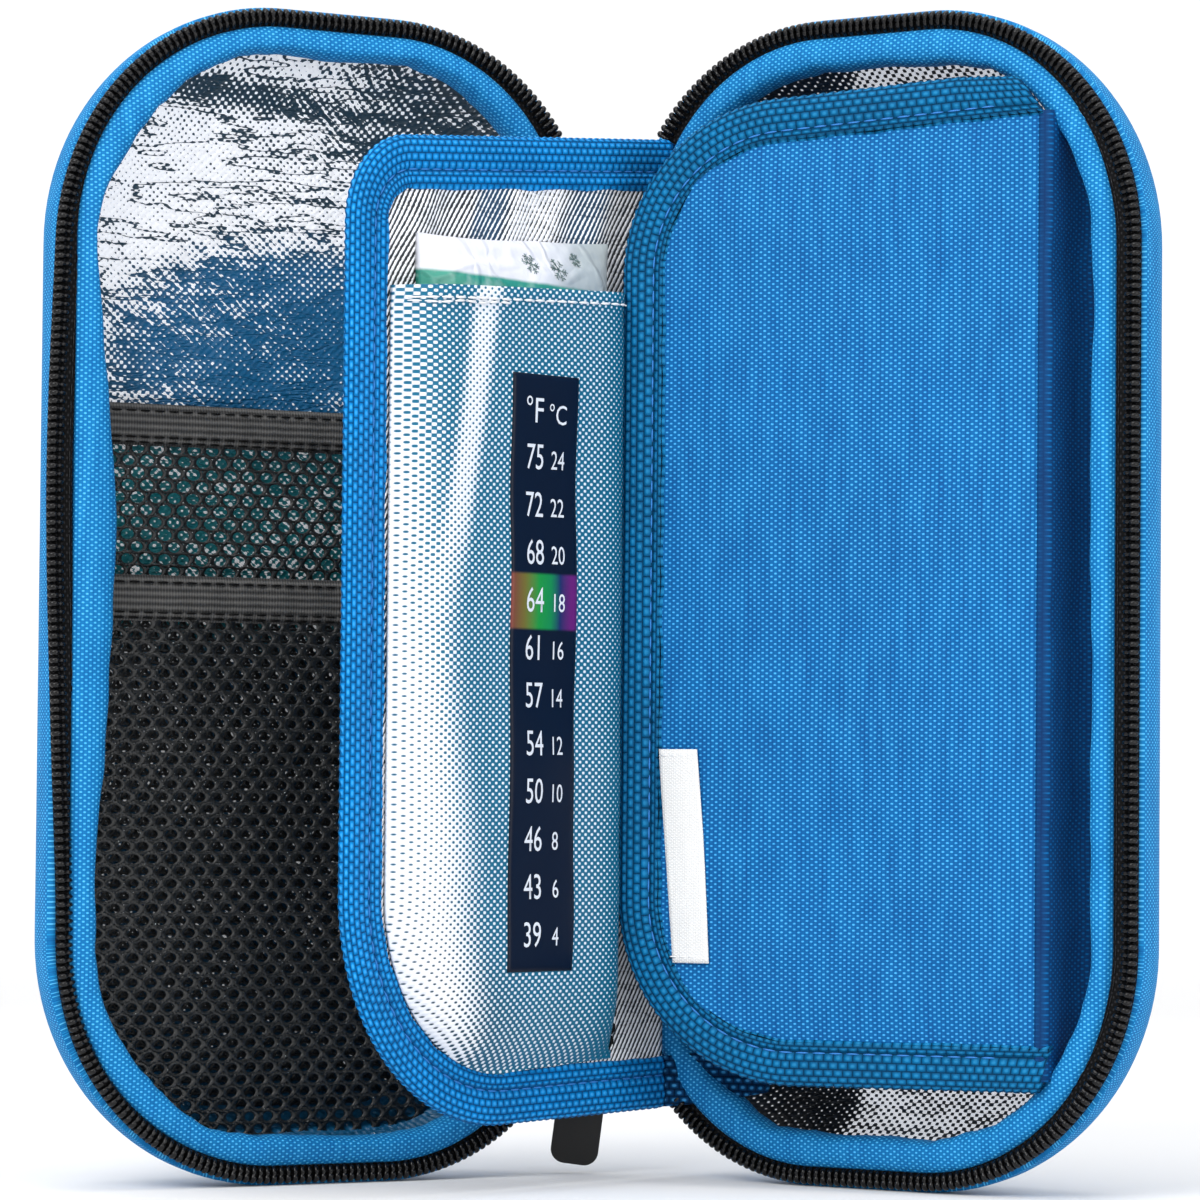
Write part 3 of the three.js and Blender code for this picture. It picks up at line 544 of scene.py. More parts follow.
class Recipe:
    """The nodes of one material, around one Principled shader."""

    def __init__(self, name: str) -> None:
        """Starts an empty material with its shader."""
        self.material = bpy.data.materials.new(name)
        self.material.use_nodes = True
        self.nodes = self.material.node_tree.nodes
        self.links = self.material.node_tree.links
        self.shader = self.nodes["Principled BSDF"]
        texture = self.node("ShaderNodeAttribute", {"attribute_name": "grain"}, {})
        split = self.node("ShaderNodeSeparateXYZ", {}, {"Vector": texture.outputs["Vector"]})
        self.vector = texture.outputs["Vector"]
        self.x, self.y, self.z = (Signal(self, split.outputs[axis]) for axis in "XYZ")

    def node(self, kind: str, settings: dict[str, Any], values: dict[Any, Any]) -> Any:
        """One node.

        Args:
            kind: The node's type.
            settings: Properties, set first.
            values: Numbers, colours or links by socket.

        Returns:
            The node.
        """
        made = self.nodes.new(kind)
        for key, value in settings.items():
            setattr(made, key, value)
        for key, value in values.items():
            self.feed(made.inputs[key], value)
        return made

    def feed(self, socket: Any, value: Any) -> None:
        """Sets a socket to a number or colour, or links it."""
        if isinstance(value, Signal):
            value = value.socket
        if isinstance(value, bpy.types.NodeSocket):
            self.links.new(value, socket)
        elif isinstance(value, tuple) and len(socket.default_value) == 4:
            socket.default_value = (*value, 1.0)
        else:
            socket.default_value = value

    def maths(self, operation: str, *values: "Signal | float", clamp: bool = False) -> Signal:
        """One Math node."""
        settings = {"operation": operation, "use_clamp": clamp}
        return Signal(self, self.node("ShaderNodeMath", settings, dict(enumerate(values))).outputs[0])

    def mix(self, share: "Signal | float", low: Any, high: Any) -> Any:
        """Colour between two colours.

        Args:
            share: 0 for the first, 1 for the second.
            low: The first colour or link.
            high: The second colour or link.

        Returns:
            The mixed colour's socket.
        """
        node = self.node("ShaderNodeMix", {"data_type": "RGBA"}, {0: share, 6: low, 7: high})
        return node.outputs[2]

    def place(self, x: "Signal | float", y: "Signal | float", z: "Signal | float" = 0.0) -> Any:
        """A vector from three values."""
        return self.node("ShaderNodeCombineXYZ", {}, {"X": x, "Y": y, "Z": z}).outputs[0]

    def cloud(self, size: float, detail: float = 2.0, where: Any = None, shift: float = 0.0) -> Signal:
        """Noise from 0 to 1 with bumps of a size.

        Args:
            size: Length of the bumps in millimetres.
            detail: How many finer layers it has.
            where: The vector to read, or the cloth's own coordinates.
            shift: A fourth coordinate that picks another pattern.

        Returns:
            The noise.
        """
        values = {"Vector": where or self.vector, "Scale": 1 / size, "Detail": detail, "W": shift}
        node = self.node("ShaderNodeTexNoise", {"noise_dimensions": "4D"}, values)
        return Signal(self, node.outputs[0])

    def creases(self, size: float, seed: float) -> Signal:
        """Sharp folds.

        Args:
            size: Length between folds in millimetres.
            seed: Offset that picks another pattern.

        Returns:
            1 on the crease lines, falling to 0 beside them.
        """
        warp = self.cloud(size, 1.0, shift=seed) - 0.5
        where = self.place(self.x + warp * size, self.y - warp * size, self.z + seed)
        settings = {"feature": "DISTANCE_TO_EDGE"}
        node = self.node("ShaderNodeTexVoronoi", settings, {"Vector": where, "Scale": 1 / size})
        return 1 - Signal(self, node.outputs["Distance"]).ramp(0.0, 0.14)

    def weave(self, pitch: float, stretch: float) -> Signal:
        """Height of a plain weave, from 0 in the gaps to 1 on the threads.

        Args:
            pitch: Distance between level threads, in millimetres.
            stretch: How many times wider the upright threads lie.

        Returns:
            The height.
        """
        x, y = self.x / stretch, self.y
        gaps = x.cosine(pitch * 2).magnitude() * y.cosine(pitch * 2).magnitude()
        turns = (x + y).cosine(pitch * 2) * 0.25 + (x - y).cosine(pitch * 2) * 0.25 + 0.5
        return gaps**0.5 * 0.45 + turns * 0.55

    def finish(self, colour: Any, roughness: Any, height: Signal, relief: float, **fixed: Any) -> Any:
        """Feeds the shader and returns the material.

        Args:
            colour: Base colour or link.
            roughness: Roughness or link.
            height: Relief in millimetres.
            relief: Strength of the relief.
            fixed: Other sockets by name, with underscores for spaces.

        Returns:
            The finished material.
        """
        bump = self.node("ShaderNodeBump", {}, {"Height": height, "Strength": relief, "Distance": MILLI})
        fed = {"Base Color": colour, "Roughness": roughness, "Normal": bump.outputs[0]}
        fed.update({key.replace("_", " "): value for key, value in fixed.items()})
        for key, value in fed.items():
            self.feed(self.shader.inputs[key], value)
        return self.material


@dataclass(frozen=True)
class WovenCloth:
    """Plain woven polyester."""

    name: str
    lit: Colour
    shade: Colour
    pitch: float = 0.48
    wrinkle: float = 0.25
    roughness: float = 0.6
    glint: Colour = (0.14, 0.55, 0.88)
    stretch: float = 1.5

    def make(self) -> Any:
        """The material."""
        r = Recipe(self.name)
        weave = r.weave(self.pitch, self.stretch)
        patches = r.cloud(26.0, 3.0)
        folds = r.cloud(7.0, 2.0, shift=3.0)
        uneven = r.cloud(1.6, 1.0, r.place(r.x, r.y * 0.15), shift=5.0)
        lit = r.mix(patches.ramp(0.25, 0.8), self.lit, tuple(c * 0.86 for c in self.lit))
        threads_up = weave + (uneven - 0.5) * 0.3
        # Thread tops take the lit colour and the gaps between them a painted shade; the highest tops take a
        # painted glint.
        colour = r.mix((threads_up * 1.5 - 0.35).clamped(), self.shade, lit)
        colour = r.mix(threads_up.ramp(0.7, 1.0) * 0.7, colour, self.glint)
        height = weave * 0.14 + folds * self.wrinkle + uneven * 0.04
        roughness = self.roughness + (1 - weave) * 0.2
        return r.finish(colour, roughness, height, 0.8, Specular_IOR_Level=0.15)


@dataclass(frozen=True)
class Webbing:
    """Chunky binding webbing with a sewn groove along its middle."""

    name: str
    lit: Colour
    shade: Colour
    pitch: float = 1.8
    row: float = 1.3
    groove: float = 6.0
    glint: Colour = (0.07, 0.42, 0.85)

    def make(self) -> Any:
        """The material."""
        r = Recipe(self.name)
        shift = (r.z / self.row + 0.5).apply("FLOOR") * (self.pitch / 2)
        along = (r.x + shift).cosine(self.pitch * 2).magnitude()
        across = r.z.cosine(self.row * 2).magnitude()
        knots = (along * across) ** 0.42
        groove = r.z.within(self.groove - 0.45, self.groove + 0.45, 0.3)
        patches = r.cloud(9.0, 3.0)
        lit = r.mix(patches.ramp(0.3, 0.75), self.lit, tuple(c * 0.72 for c in self.lit))
        # Knots take the lit colour, the gaps between them and the sewn groove a painted shade, and the knot
        # tops a painted glint.
        colour = r.mix((knots * 1.5 - 0.3).clamped(), self.shade, lit)
        colour = r.mix(knots.ramp(0.82, 1.0) * 0.5, colour, self.glint)
        colour = r.mix(groove * 0.6, colour, self.shade)
        height = knots * 0.5 - groove * 0.3
        return r.finish(colour, 0.48 + (1 - knots) * 0.3, height, 1.0, Specular_IOR_Level=0.1)


@dataclass(frozen=True)
class RibbedBand:
    """Knitted elastic with fine upright ribs between level rows."""

    name: str
    lit: Colour = (0.135, 0.131, 0.125)
    shade: Colour = (0.02, 0.02, 0.02)

    def make(self) -> Any:
        """The material."""
        r = Recipe(self.name)
        ribs = r.x.cosine(0.55) * 0.5 + 0.5
        rows = (r.y + r.cloud(3.0) * 0.3).cosine(1.25) * 0.5 + 0.5
        patches = r.cloud(5.0, 3.0, r.place(r.x * 0.25, r.y))
        height = ribs * 0.3 + rows * 0.6 + patches * 0.3
        colour = r.mix((height * 1.3 - 0.35).clamped(), self.shade, self.lit)
        return r.finish(colour, 0.5 + patches * 0.2, height * 0.3, 0.9, Specular_IOR_Level=0.35)


class Gleam(Enum):
    """Where a silver sheet's painted reflection shows white light and where it shows the blue cloth."""

    COVER = "cover"
    COMPARTMENT = "compartment"
    PAGE = "page"
    POCKET = "pocket"


@dataclass(frozen=True)
class SilverFilm:
    """Silver film over a diamond scrim, with painted reflections of white light and of the blue cloth."""

    name: str
    gleam: Gleam
    wide: float = 1.6
    tall: float = 1.45
    crease: float = 0.0
    pale: Colour = (0.96, 0.97, 1.0)
    teal: Colour = (0.01, 0.27, 0.3)
    azure: Colour = (0.0, 0.13, 0.33)
    navy: Colour = (0.002, 0.03, 0.055)
    shine: float = 0.6
    glow: float = 0.0

    def level(self, r: Recipe) -> tuple[Signal, Signal]:
        """How much of the film shows a painted white reflection, and how blue the painted reflection is
        elsewhere.

        Args:
            r: The material's recipe.

        Returns:
            The white share and the blueness, each about 0 to 1.
        """
        drift = r.cloud(24.0, 2.0, r.place(r.x, r.y * 0.7)) - 0.5
        fleck = r.cloud(5.0, 3.0, shift=6.0) - 0.5
        # On the cover the blue lake, the dark band, the darker spine corner, the low part, the dark fold
        # line and the darker foot are painted reflection and shade.
        if self.gleam is Gleam.COVER:
            lake = 1 - (((r.x - 56.0) / 36.0) ** 2.0 + ((r.y - 150.0) / 19.0) ** 2.0).ramp(0.15, 1.7)
            band = (r.y - r.x * 0.09).within(187.5, 192.5, 2.5) * (1 - r.x.ramp(84.0, 92.0)) * 0.75
            spine = (1 - r.x.ramp(40.0, 56.0)) * r.y.ramp(180.0, 190.0) * 0.6
            low = 1 - r.y.ramp(128.0, 136.0)
            fold = (r.y - r.x * 0.4 + drift * 3.0).within(119.5, 120.2, 0.3) * (1 - r.x.ramp(92.0, 99.0))
            foot = (1 - r.y.ramp(20.0, 66.0)) * 0.45
            white = 0.8 - lake * 0.8 - band.apply("MAXIMUM", spine) + drift * 0.3 + fleck * 0.35 - low * 0.62
            return white - fold * 0.8 - foot, lake * 1.3 - band * 0.4 + low * 0.5 + fleck * 0.5
        if self.gleam is Gleam.COMPARTMENT:
            left = 1 - (r.x + fleck * 6.0).ramp(40.0, 47.0)
            return 0.58 - left * 0.52 + drift * 0.3 + fleck * 0.25, drift * 0.4 + 0.05
        if self.gleam is Gleam.PAGE:
            lean = r.x + (r.y - 172.0) * 0.35
            dusk = lean.within(46.5, 54.0, 1.5) * 0.22 + lean.within(19.0, 29.0, 3.0) * 0.2
            glow = lean.within(32.0, 45.0, 1.5) * 0.25
            return 0.52 + glow - dusk + drift * 0.25 + fleck * 0.2, dusk * 1.3
        # On the pocket the white left part, the streak, the darker side by the hinge and the foot are
        # painted reflection and shade.
        edge = (r.y - 70.0) * 0.13 + 60.0 + drift * 8.0
        left = (r.x - edge - 4.0).ramp(-5.0, 9.0)
        streak = (r.x + (r.y - 155.0) * 0.18).within(56.5, 62.5, 2.2) * r.y.ramp(95.0, 125.0) * 0.45
        foot = (1 - r.y.ramp(24.0, 70.0)) * r.x.ramp(28.0, 60.0)
        side = (1 - r.x.ramp(16.5, 30.0)) * 0.4
        white = 0.3 + left * 0.5 + streak + foot * 0.04 - side * 0.7 + drift * 0.12
        return white, 1.35 - left * 0.6 - streak * 0.8 - side * 0.8 - foot * 0.75

    def make(self) -> Any:
        """The material."""
        r = Recipe(self.name)
        white, blue = self.level(r)
        wobble = (r.cloud(6.0, 1.0, shift=2.0) - 0.5) * self.crease
        x, y = r.x + wobble, r.y - wobble * 0.7
        up, down = x / self.wide + y / self.tall, x / self.wide - y / self.tall
        dots = up.cosine(1.0) * 0.25 + down.cosine(1.0) * 0.25 + 0.5
        # On the page the diamond dots run together into stripes: the scrim's pattern with a painted grazing
        # highlight.
        if self.gleam is Gleam.PAGE:
            dots = dots * 0.3 + (up.cosine(1.0) * 0.5 + 0.5) * 0.7
        height = dots * 0.22
        if self.crease:
            # Crumples also brighten or darken the white share with streaks, waves and fine grain as painted
            # reflections, and with dark and pale lines as painted shade and highlight along the creases.
            along, over = r.x * 0.84 + r.y * 0.54, r.y * 0.84 - r.x * 0.54
            streak = r.cloud(1.5, 2.0, r.place(along * 0.25, over), shift=3.0) - 0.5
            wave = r.cloud(2.4, 3.0, r.place(r.x * 0.16 + r.y * 0.05, r.y), shift=8.0) - 0.5
            share = r.cloud(17.0, 1.0, shift=5.0).ramp(0.3, 0.62) * self.crease
            dark = 1 - wave.magnitude().ramp(0.004, 0.03)
            pale = 1 - streak.magnitude().ramp(0.004, 0.045)
            grain = r.cloud(0.9, 2.0, r.place(along * 0.4, over), shift=1.0) - 0.5
            height = height + streak * share * 1.3 + wave * self.crease - dark * 0.3
            white = white + streak * share * 1.1 + wave * self.crease * 0.6 + grain * self.crease * 0.9
            white = white - dark * self.crease * 0.75 + pale * share * 0.5
        mask = (dots + white - 1).ramp(-0.16, 0.16)
        # The rest of the film takes the painted reflection of the blue cloth, and on the cover a painted
        # teal reflection behind the rear net.
        deep = r.mix(blue.clamped(), self.navy, self.azure)
        if self.gleam is Gleam.COVER:
            deep = r.mix(r.y.within(98.0, 134.0, 5.0) * 0.9, deep, self.teal)
        colour = r.mix(mask, deep, self.pale)
        # The glow makes the white of the film emit light, painted light for the light that its facets catch.
        fixed = {"Specular_IOR_Level": self.shine, "Emission_Strength": self.glow}
        if self.glow:
            fixed["Emission_Color"] = r.mix(mask, (0.0, 0.0, 0.0), self.pale)
        return r.finish(colour, 0.26 + (1 - mask) * 0.15, height, 0.7, **fixed)


@dataclass(frozen=True)
class PlainFilm:
    """Smooth film, paint, thread or rubber with a little unevenness."""

    name: str
    colour: Colour
    roughness: float = 0.4
    grit: float = 0.05
    grit_size: float = 0.8
    metallic: float = 0.0
    coat: float = 0.0
    shine: float = 0.5

    def make(self) -> Any:
        """The material."""
        r = Recipe(self.name)
        speck = r.cloud(self.grit_size, 3.0)
        wear = r.cloud(self.grit_size * 9, 2.0, shift=2.0)
        dark = tuple(c * 0.72 for c in self.colour)
        colour = r.mix((speck * 0.5 + wear * 0.6).clamped(), dark, self.colour)
        roughness = self.roughness + (wear - 0.5) * 0.2
        fixed = {"Metallic": self.metallic, "Coat_Weight": self.coat, "Specular_IOR_Level": self.shine}
        return r.finish(colour, roughness, speck * self.grit, 0.6, **fixed)


@dataclass(frozen=True)
class NetYarn:
    """Glossy black knit with small painted glints on its loops."""

    name: str
    limit: float
    black: Colour = (0.009, 0.01, 0.01)
    glint: Colour = (0.6, 0.68, 0.68)

    def make(self) -> Any:
        """The material."""
        r = Recipe(self.name)
        loops = r.cloud(0.5, 2.0)
        where = r.cloud(14.0, 1.0, shift=3.0).ramp(0.4, 0.6)
        # Painted glints on the loops, in patches.
        spark = loops.ramp(self.limit - 0.04, self.limit) * where
        colour = r.mix(spark, self.black, self.glint)
        return r.finish(colour, 0.36, loops * 0.2, 0.8, Specular_IOR_Level=0.5)


@dataclass(frozen=True)
class PackFilm:
    """White film of the gel pack with a pale green lower band."""

    name: str = "gel_pack_film"
    white: Colour = (0.68, 0.69, 0.75)
    green: Colour = (0.03, 0.27, 0.2)
    grey: Colour = (0.3, 0.36, 0.36)
    band_top: float = 159.8

    def make(self) -> Any:
        """The material."""
        r = Recipe(self.name)
        edge = r.y - (r.x - 45.0) * 0.02 + (r.cloud(8.0) - 0.5) * 0.8
        sheen = r.cloud(6.0, 3.0, shift=4.0)
        lean = r.x + (r.y - 165.0) * 0.8 + (r.cloud(5.0, 2.0, shift=7.0) - 0.5) * 9.0
        face = r.mix((1 - lean.ramp(28.0, 42.0)) * 0.75, self.white, self.grey)
        colour = r.mix(edge.ramp(self.band_top - 0.4, self.band_top + 0.4), self.green, face)
        # Painted sheen highlights over the film.
        colour = r.mix(sheen.ramp(0.55, 0.75) * 0.35, colour, (0.95, 0.97, 0.98))
        height = r.cloud(4.0, 2.0) * 0.6 + r.creases(9.0, 2.0) * 0.3
        return r.finish(colour, 0.26, height, 0.7, Coat_Weight=0.3)


@dataclass(frozen=True)
class Thermometer:
    """Navy strip whose lit cell shows the liquid crystal's colours."""

    name: str = "thermometer_film"
    navy: Colour = (0.001, 0.004, 0.015)
    cell_low: float = 98.7
    cell_high: float = 108.4
    left: float = 52.5
    width: float = 17.4

    def make(self) -> Any:
        """The material."""
        r = Recipe(self.name)
        ramp = r.node("ShaderNodeValToRGB", {}, {"Fac": (self.left - r.x) / self.width})
        stops = [
            (0.0, (0.16, 0.035, 0.03)),
            (0.2, (0.14, 0.12, 0.02)),
            (0.42, (0.01, 0.24, 0.04)),
            (0.6, (0.005, 0.2, 0.06)),
            (0.74, (0.01, 0.02, 0.1)),
            (0.9, (0.11, 0.01, 0.14)),
        ]
        while len(ramp.color_ramp.elements) < len(stops):
            ramp.color_ramp.elements.new(1.0)
        for element, (at, colour) in zip(ramp.color_ramp.elements, stops):
            element.position = at
            element.color = (*colour, 1.0)
        cell = r.y.within(self.cell_low, self.cell_high, 0.35)
        dust = r.cloud(0.5, 3.0).ramp(0.72, 0.8)
        colour = r.mix(cell, self.navy, ramp.outputs[0])
        colour = r.mix(dust * 0.12, colour, (0.25, 0.3, 0.4))
        return r.finish(colour, 0.38, r.cloud(3.0) * 0.05, 0.4, Specular_IOR_Level=0.2)


class Finishes:
    """Every finished material, made once."""

    def __init__(self) -> None:
        """Makes the materials."""
        self.weave_cloths()
        self.cut_webbings()
        self.lay_films()
        self.make_plain()

    def weave_cloths(self) -> None:
        """Woven cloths, elastic and nets."""
        azure, azure_shade = (0.014, 0.33, 0.72), (0.0, 0.08, 0.28)
        royal, royal_shade, royal_glint = (0.003, 0.21, 0.54), (0.0, 0.045, 0.19), (0.1, 0.48, 0.86)
        # The gusset's colours are darkened as a painted shade for the deep fold that it lies in.
        deep, deep_shade, deep_glint = (0.0, 0.08, 0.25), (0.0, 0.02, 0.09), (0.0, 0.14, 0.4)
        # For the zip tape and the label, the second colour is a painted shade in the weave's gaps and the
        # third a painted glint on the thread tops.
        dark, gloom, grey = (0.009, 0.009, 0.01), (0.001, 0.001, 0.001), (0.03, 0.03, 0.033)
        white, label_shade, satin = (0.84, 0.84, 0.83), (0.66, 0.66, 0.66), (0.92, 0.92, 0.92)
        self.shell = WovenCloth("shell_cloth", azure, azure_shade).make()
        self.facing = WovenCloth("facing_cloth", azure, azure_shade, 0.5, 0.5).make()
        self.flap = WovenCloth("flap_cloth", royal, royal_shade, 0.52, 0.2, 0.58, royal_glint).make()
        self.gusset = WovenCloth("gusset_cloth", deep, deep_shade, 0.52, 0.2, 0.6, deep_glint).make()
        self.zip_tape = WovenCloth("zip_tape_weave", dark, gloom, 0.5, 0.05, 0.8, grey).make()
        self.label = WovenCloth("label_satin", white, label_shade, 0.3, 0.12, 0.5, satin).make()
        self.elastic = RibbedBand("ribbed_elastic").make()
        self.net = NetYarn("net_knit", 0.75).make()
        self.front_net = NetYarn("front_net_knit", 0.72).make()

    def cut_webbings(self) -> None:
        """Binding webbings: the page's, the flap's, darkened as a painted shade, and the tail."""
        # The dusk colours are a painted shade on the flap's binding.
        dusk, dusk_shade, dusk_glint = (0.0, 0.135, 0.33), (0.0, 0.04, 0.11), (0.02, 0.23, 0.46)
        self.binding = Webbing("binding_webbing", (0.0, 0.24, 0.66), (0.0, 0.065, 0.22)).make()
        self.flap_binding = Webbing("flap_binding_webbing", dusk, dusk_shade, glint=dusk_glint).make()
        self.tail = Webbing("tail_webbing", (0.0, 0.055, 0.17), (0.0, 0.014, 0.05)).make()

    def lay_films(self) -> None:
        """Silver films, the gel pack's film and the thermometer strip."""
        # Lake, sky and mist are colours of the painted reflections; black and the compartment film's near
        # black colour are painted dark reflections, and the glow is painted light.
        lake, sky, mist = (0.0, 0.115, 0.27), (0.0, 0.115, 0.215), (0.78, 0.8, 0.84)
        black, dark_reflection = (0.004, 0.008, 0.012), (0.003, 0.005, 0.008)
        self.cover_foil = SilverFilm("cover_foil", Gleam.COVER, crease=1.0, azure=lake, glow=0.2).make()
        self.compartment_foil = SilverFilm(
            "compartment_foil", Gleam.COMPARTMENT, 1.7, 1.25, 0.3, navy=dark_reflection, glow=0.45
        ).make()
        self.page_film = SilverFilm("page_film", Gleam.PAGE, 1.15, 1.75, 0.2, navy=black).make()
        self.pocket_film = SilverFilm(
            "pocket_film", Gleam.POCKET, 1.75, 1.28, azure=sky, pale=mist, shine=0.25
        ).make()
        self.pack = PackFilm().make()
        self.thermometer = Thermometer().make()

    def make_plain(self) -> None:
        """Prints, threads and the zip's hard pieces."""
        jet, soot, iron = (0.003, 0.003, 0.003), (0.004, 0.004, 0.004), (0.012, 0.012, 0.013)
        self.print = PlainFilm("strip_print", (0.72, 0.76, 0.82), 0.5, 0.02).make()
        self.flakes = PlainFilm("pack_flakes", (0.13, 0.2, 0.2), 0.4, 0.02).make()
        self.white_thread = PlainFilm("white_thread", (0.85, 0.86, 0.87), 0.55, 0.1, 0.3).make()
        self.blue_thread = PlainFilm("blue_thread", (0.02, 0.2, 0.6), 0.6, 0.1, 0.3).make()
        self.dark_thread = PlainFilm("dark_thread", jet, 0.6, 0.1, 0.3, shine=0.15).make()
        self.coil = PlainFilm("zip_coil_nylon", (0.004, 0.004, 0.0045), 0.17, 0.02, 0.4, shine=0.28).make()
        self.slider = PlainFilm("slider_paint", iron, 0.3, 0.03, 0.5, 0.6, 0.3).make()
        self.rubber = PlainFilm("pull_rubber", soot, 0.34, 0.04, 0.5, shine=0.3).make()


@dataclass(frozen=True)
class Job:
    """How one piece is carried and dressed.

    A thickness, a direction that an open sheet's front faces, and a distance in
    millimetres under which points are joined are given where the piece needs them.
    """

    name: str
    body: str
    slot: str
    replaces: tuple[str, ...] = ()
    thick: float = 0.0
    toward: tuple[float, float, float] | None = None
    merge: float = 0.0


def linked(name: str, data: Any) -> Any:
    """A new object in the scene.

    Args:
        name: Its name.
        data: Its mesh, curve, lamp or camera.

    Returns:
        The object.
    """
    made = bpy.data.objects.new(name, data)
    bpy.context.scene.collection.objects.link(made)
    return made


def lay_grain(mesh: Any, rows: np.ndarray) -> None:
    """Stores the cloth's flat coordinates on a mesh and shades it smoothly.

    Args:
        mesh: The mesh.
        rows: Three coordinates a point, in millimetres.
    """
    grain = mesh.attributes.new("grain", "FLOAT_VECTOR", "POINT")
    grain.data.foreach_set("vector", rows.astype(np.float32).ravel())
    mesh.polygons.foreach_set("use_smooth", [True] * len(mesh.polygons))


def make_object(job: Job, place: Place, form: Form, material: Any) -> Any:
    """A mesh object from a local form.

    Args:
        job: Its name, the way that its front faces and how close points are joined.
        place: The local frame.
        form: Points, faces and flat coordinates.
        material: Its material.

    Returns:
        The object.
    """
    mesh = bpy.data.meshes.new(job.name)
    mesh.from_pydata(place.world(form.points).tolist(), [], form.faces)
    lay_grain(mesh, form.grain)
    work = bmesh.new()
    work.from_mesh(mesh)
    if job.merge:
        bmesh.ops.remove_doubles(work, verts=work.verts, dist=job.merge * MILLI)
    bmesh.ops.recalc_face_normals(work, faces=work.faces)
    if job.toward is not None:
        flat = job.toward[0] * place.along + job.toward[1] * place.deep
        wanted = Vector((flat[0], flat[1], job.toward[2]))
        if sum((face.normal * face.calc_area() for face in work.faces), Vector()).dot(wanted) < 0:
            bmesh.ops.reverse_faces(work, faces=work.faces)
    work.to_mesh(mesh)
    work.free()
    mesh.materials.append(material)
    return linked(job.name, mesh)


def dress(job: Job, place: Place, form: Form, material: Any) -> Any:
    """A finished piece: mesh, thickness and body, with the nodes that it stands for hidden.

    Args:
        job: How the piece is carried and dressed.
        place: The local frame.
        form: Points, faces and flat coordinates.
        material: Its material.

    Returns:
        The piece.
    """
    piece = make_object(job, place, form, material)
    if job.thick:
        solid = piece.modifiers.new("thickness", "SOLIDIFY")
        solid.thickness = job.thick * MILLI
        solid.offset = -1.0
        solid.use_even_offset = False
    if job.body:
        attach(piece, job.body)
    if job.replaces:
        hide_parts(*job.replaces)
    LOG.info("%s: %d points", job.name, len(piece.data.vertices))
    return piece


@dataclass(frozen=True)
class Stitch:
    """One kind of sewn row: short bulging threads that dip at their ends."""

    length: float
    gap: float
    radius: float
    rings: int = 5
    sides: int = 6

    def row(self, path: np.ndarray, side: float) -> Form:
        """Stitches along a path.

        Args:
            path: Local points of the seam.
            side: 1 or -1, the way along the depth that the cloth faces.

        Returns:
            All stitches as one form.
        """
        run = running(path)
        up = np.array([0.0, side, 0.0])
        angles = np.linspace(0, FULL_TURN, self.sides, endpoint=False)[:, None]
        points, faces = [], []
        for number in range(int((run[-1] - self.length) / (self.length + self.gap)) + 1):
            start = number * (self.length + self.gap)
            centre = sample(start + self.length * np.linspace(0, 1, self.rings), run, path)
            along = centre[-1] - centre[0]
            across = np.cross(along / np.linalg.norm(along), up)
            faces += shifted(tube_faces(self.rings, self.sides), len(points) * self.sides)
            for ring, spot in enumerate(centre):
                swell = math.sin(math.pi * (ring + 0.35) / (self.rings - 0.3)) ** 0.5
                middle = spot + up * self.radius * (swell * 1.1 - 0.75)
                points.append(middle + self.radius * swell * (np.cos(angles) * across + np.sin(angles) * up))
        rows = np.vstack(points)
        return Form(rows, faces, rows[:, [0, 2, 1]])

    def sew(self, job: Job, place: Place, path: np.ndarray, side: float, thread: Any) -> Any:
        """A finished row of stitches, of a thread's material."""
        return dress(job, place, self.row(path, side), thread)


TAPE_STITCH = Stitch(2.2, 0.7, 0.16)
BAND_STITCH = Stitch(1.9, 0.9, 0.2)
BINDING_STITCH = Stitch(2.3, 0.8, 0.17)
HEM_STITCH = Stitch(2.4, 0.6, 0.24)
EDGE_CORD = Stitch(2.6, 0.15, 0.5)
EDGE_STITCH = Stitch(1.5, 3.1, 0.2)
LABEL_STITCH = Stitch(1.3, 0.5, 0.14)
LOOP_STITCH = Stitch(1.8, 0.6, 0.16)


def upright_ribbon(line: np.ndarray, thickness: float, low: float, high: float, step: float) -> Form:
    """A band of even thickness that stands on a line of x and y, closed all round.

    Args:
        line: x and y along the band.
        thickness: Its thickness.
        low: Its lower edge.
        high: Its upper edge.
        step: Height between rows of points.

    Returns:
        The closed band, with rounded long edges.
    """
    ahead = np.gradient(line, axis=0)
    ahead /= np.linalg.norm(ahead, axis=1)[:, None]
    across = np.column_stack([-ahead[:, 1], ahead[:, 0]]) * thickness / 2
    full, inner = (np.vstack([line + across * k, (line - across * k)[::-1]]) for k in (1.0, 0.4))
    runs = np.concatenate([running(line), running(line)[::-1]])
    edge = thickness * 0.3
    between = np.arange(low + step, high - step / 2, step)
    heights = np.concatenate([[low, low + edge], between, [high - edge, high]])
    points, grain = [], []
    for k, height in enumerate(heights):
        level = np.full(len(full), height)
        points.append(np.column_stack([inner if k in (0, len(heights) - 1) else full, level]))
        grain.append(np.column_stack([runs, level, level * 0]))
    size = len(full)
    faces = grid_faces(len(heights), size, False, True)
    for base in (0, (len(heights) - 1) * size):
        end = base + size - 1
        faces += [(base + k, base + k + 1, end - 1 - k, end - k) for k in range(len(line) - 1)]
    return Form(np.vstack(points), faces, np.vstack(grain))


def outer_share(points: np.ndarray) -> np.ndarray:
    """From 0 at a half's middle to 1 near its outer side, for rows of x and z."""
    return np.clip((points[:, 0] - SIZES.middle) / 20, 0, 1)


def bulge(points: np.ndarray, height: float, reach: float, width: float) -> np.ndarray:
    """A soft bump of a width round a height, for rows of x and z."""
    return width * np.exp(-(((points[:, 1] - height) / reach) ** 2))


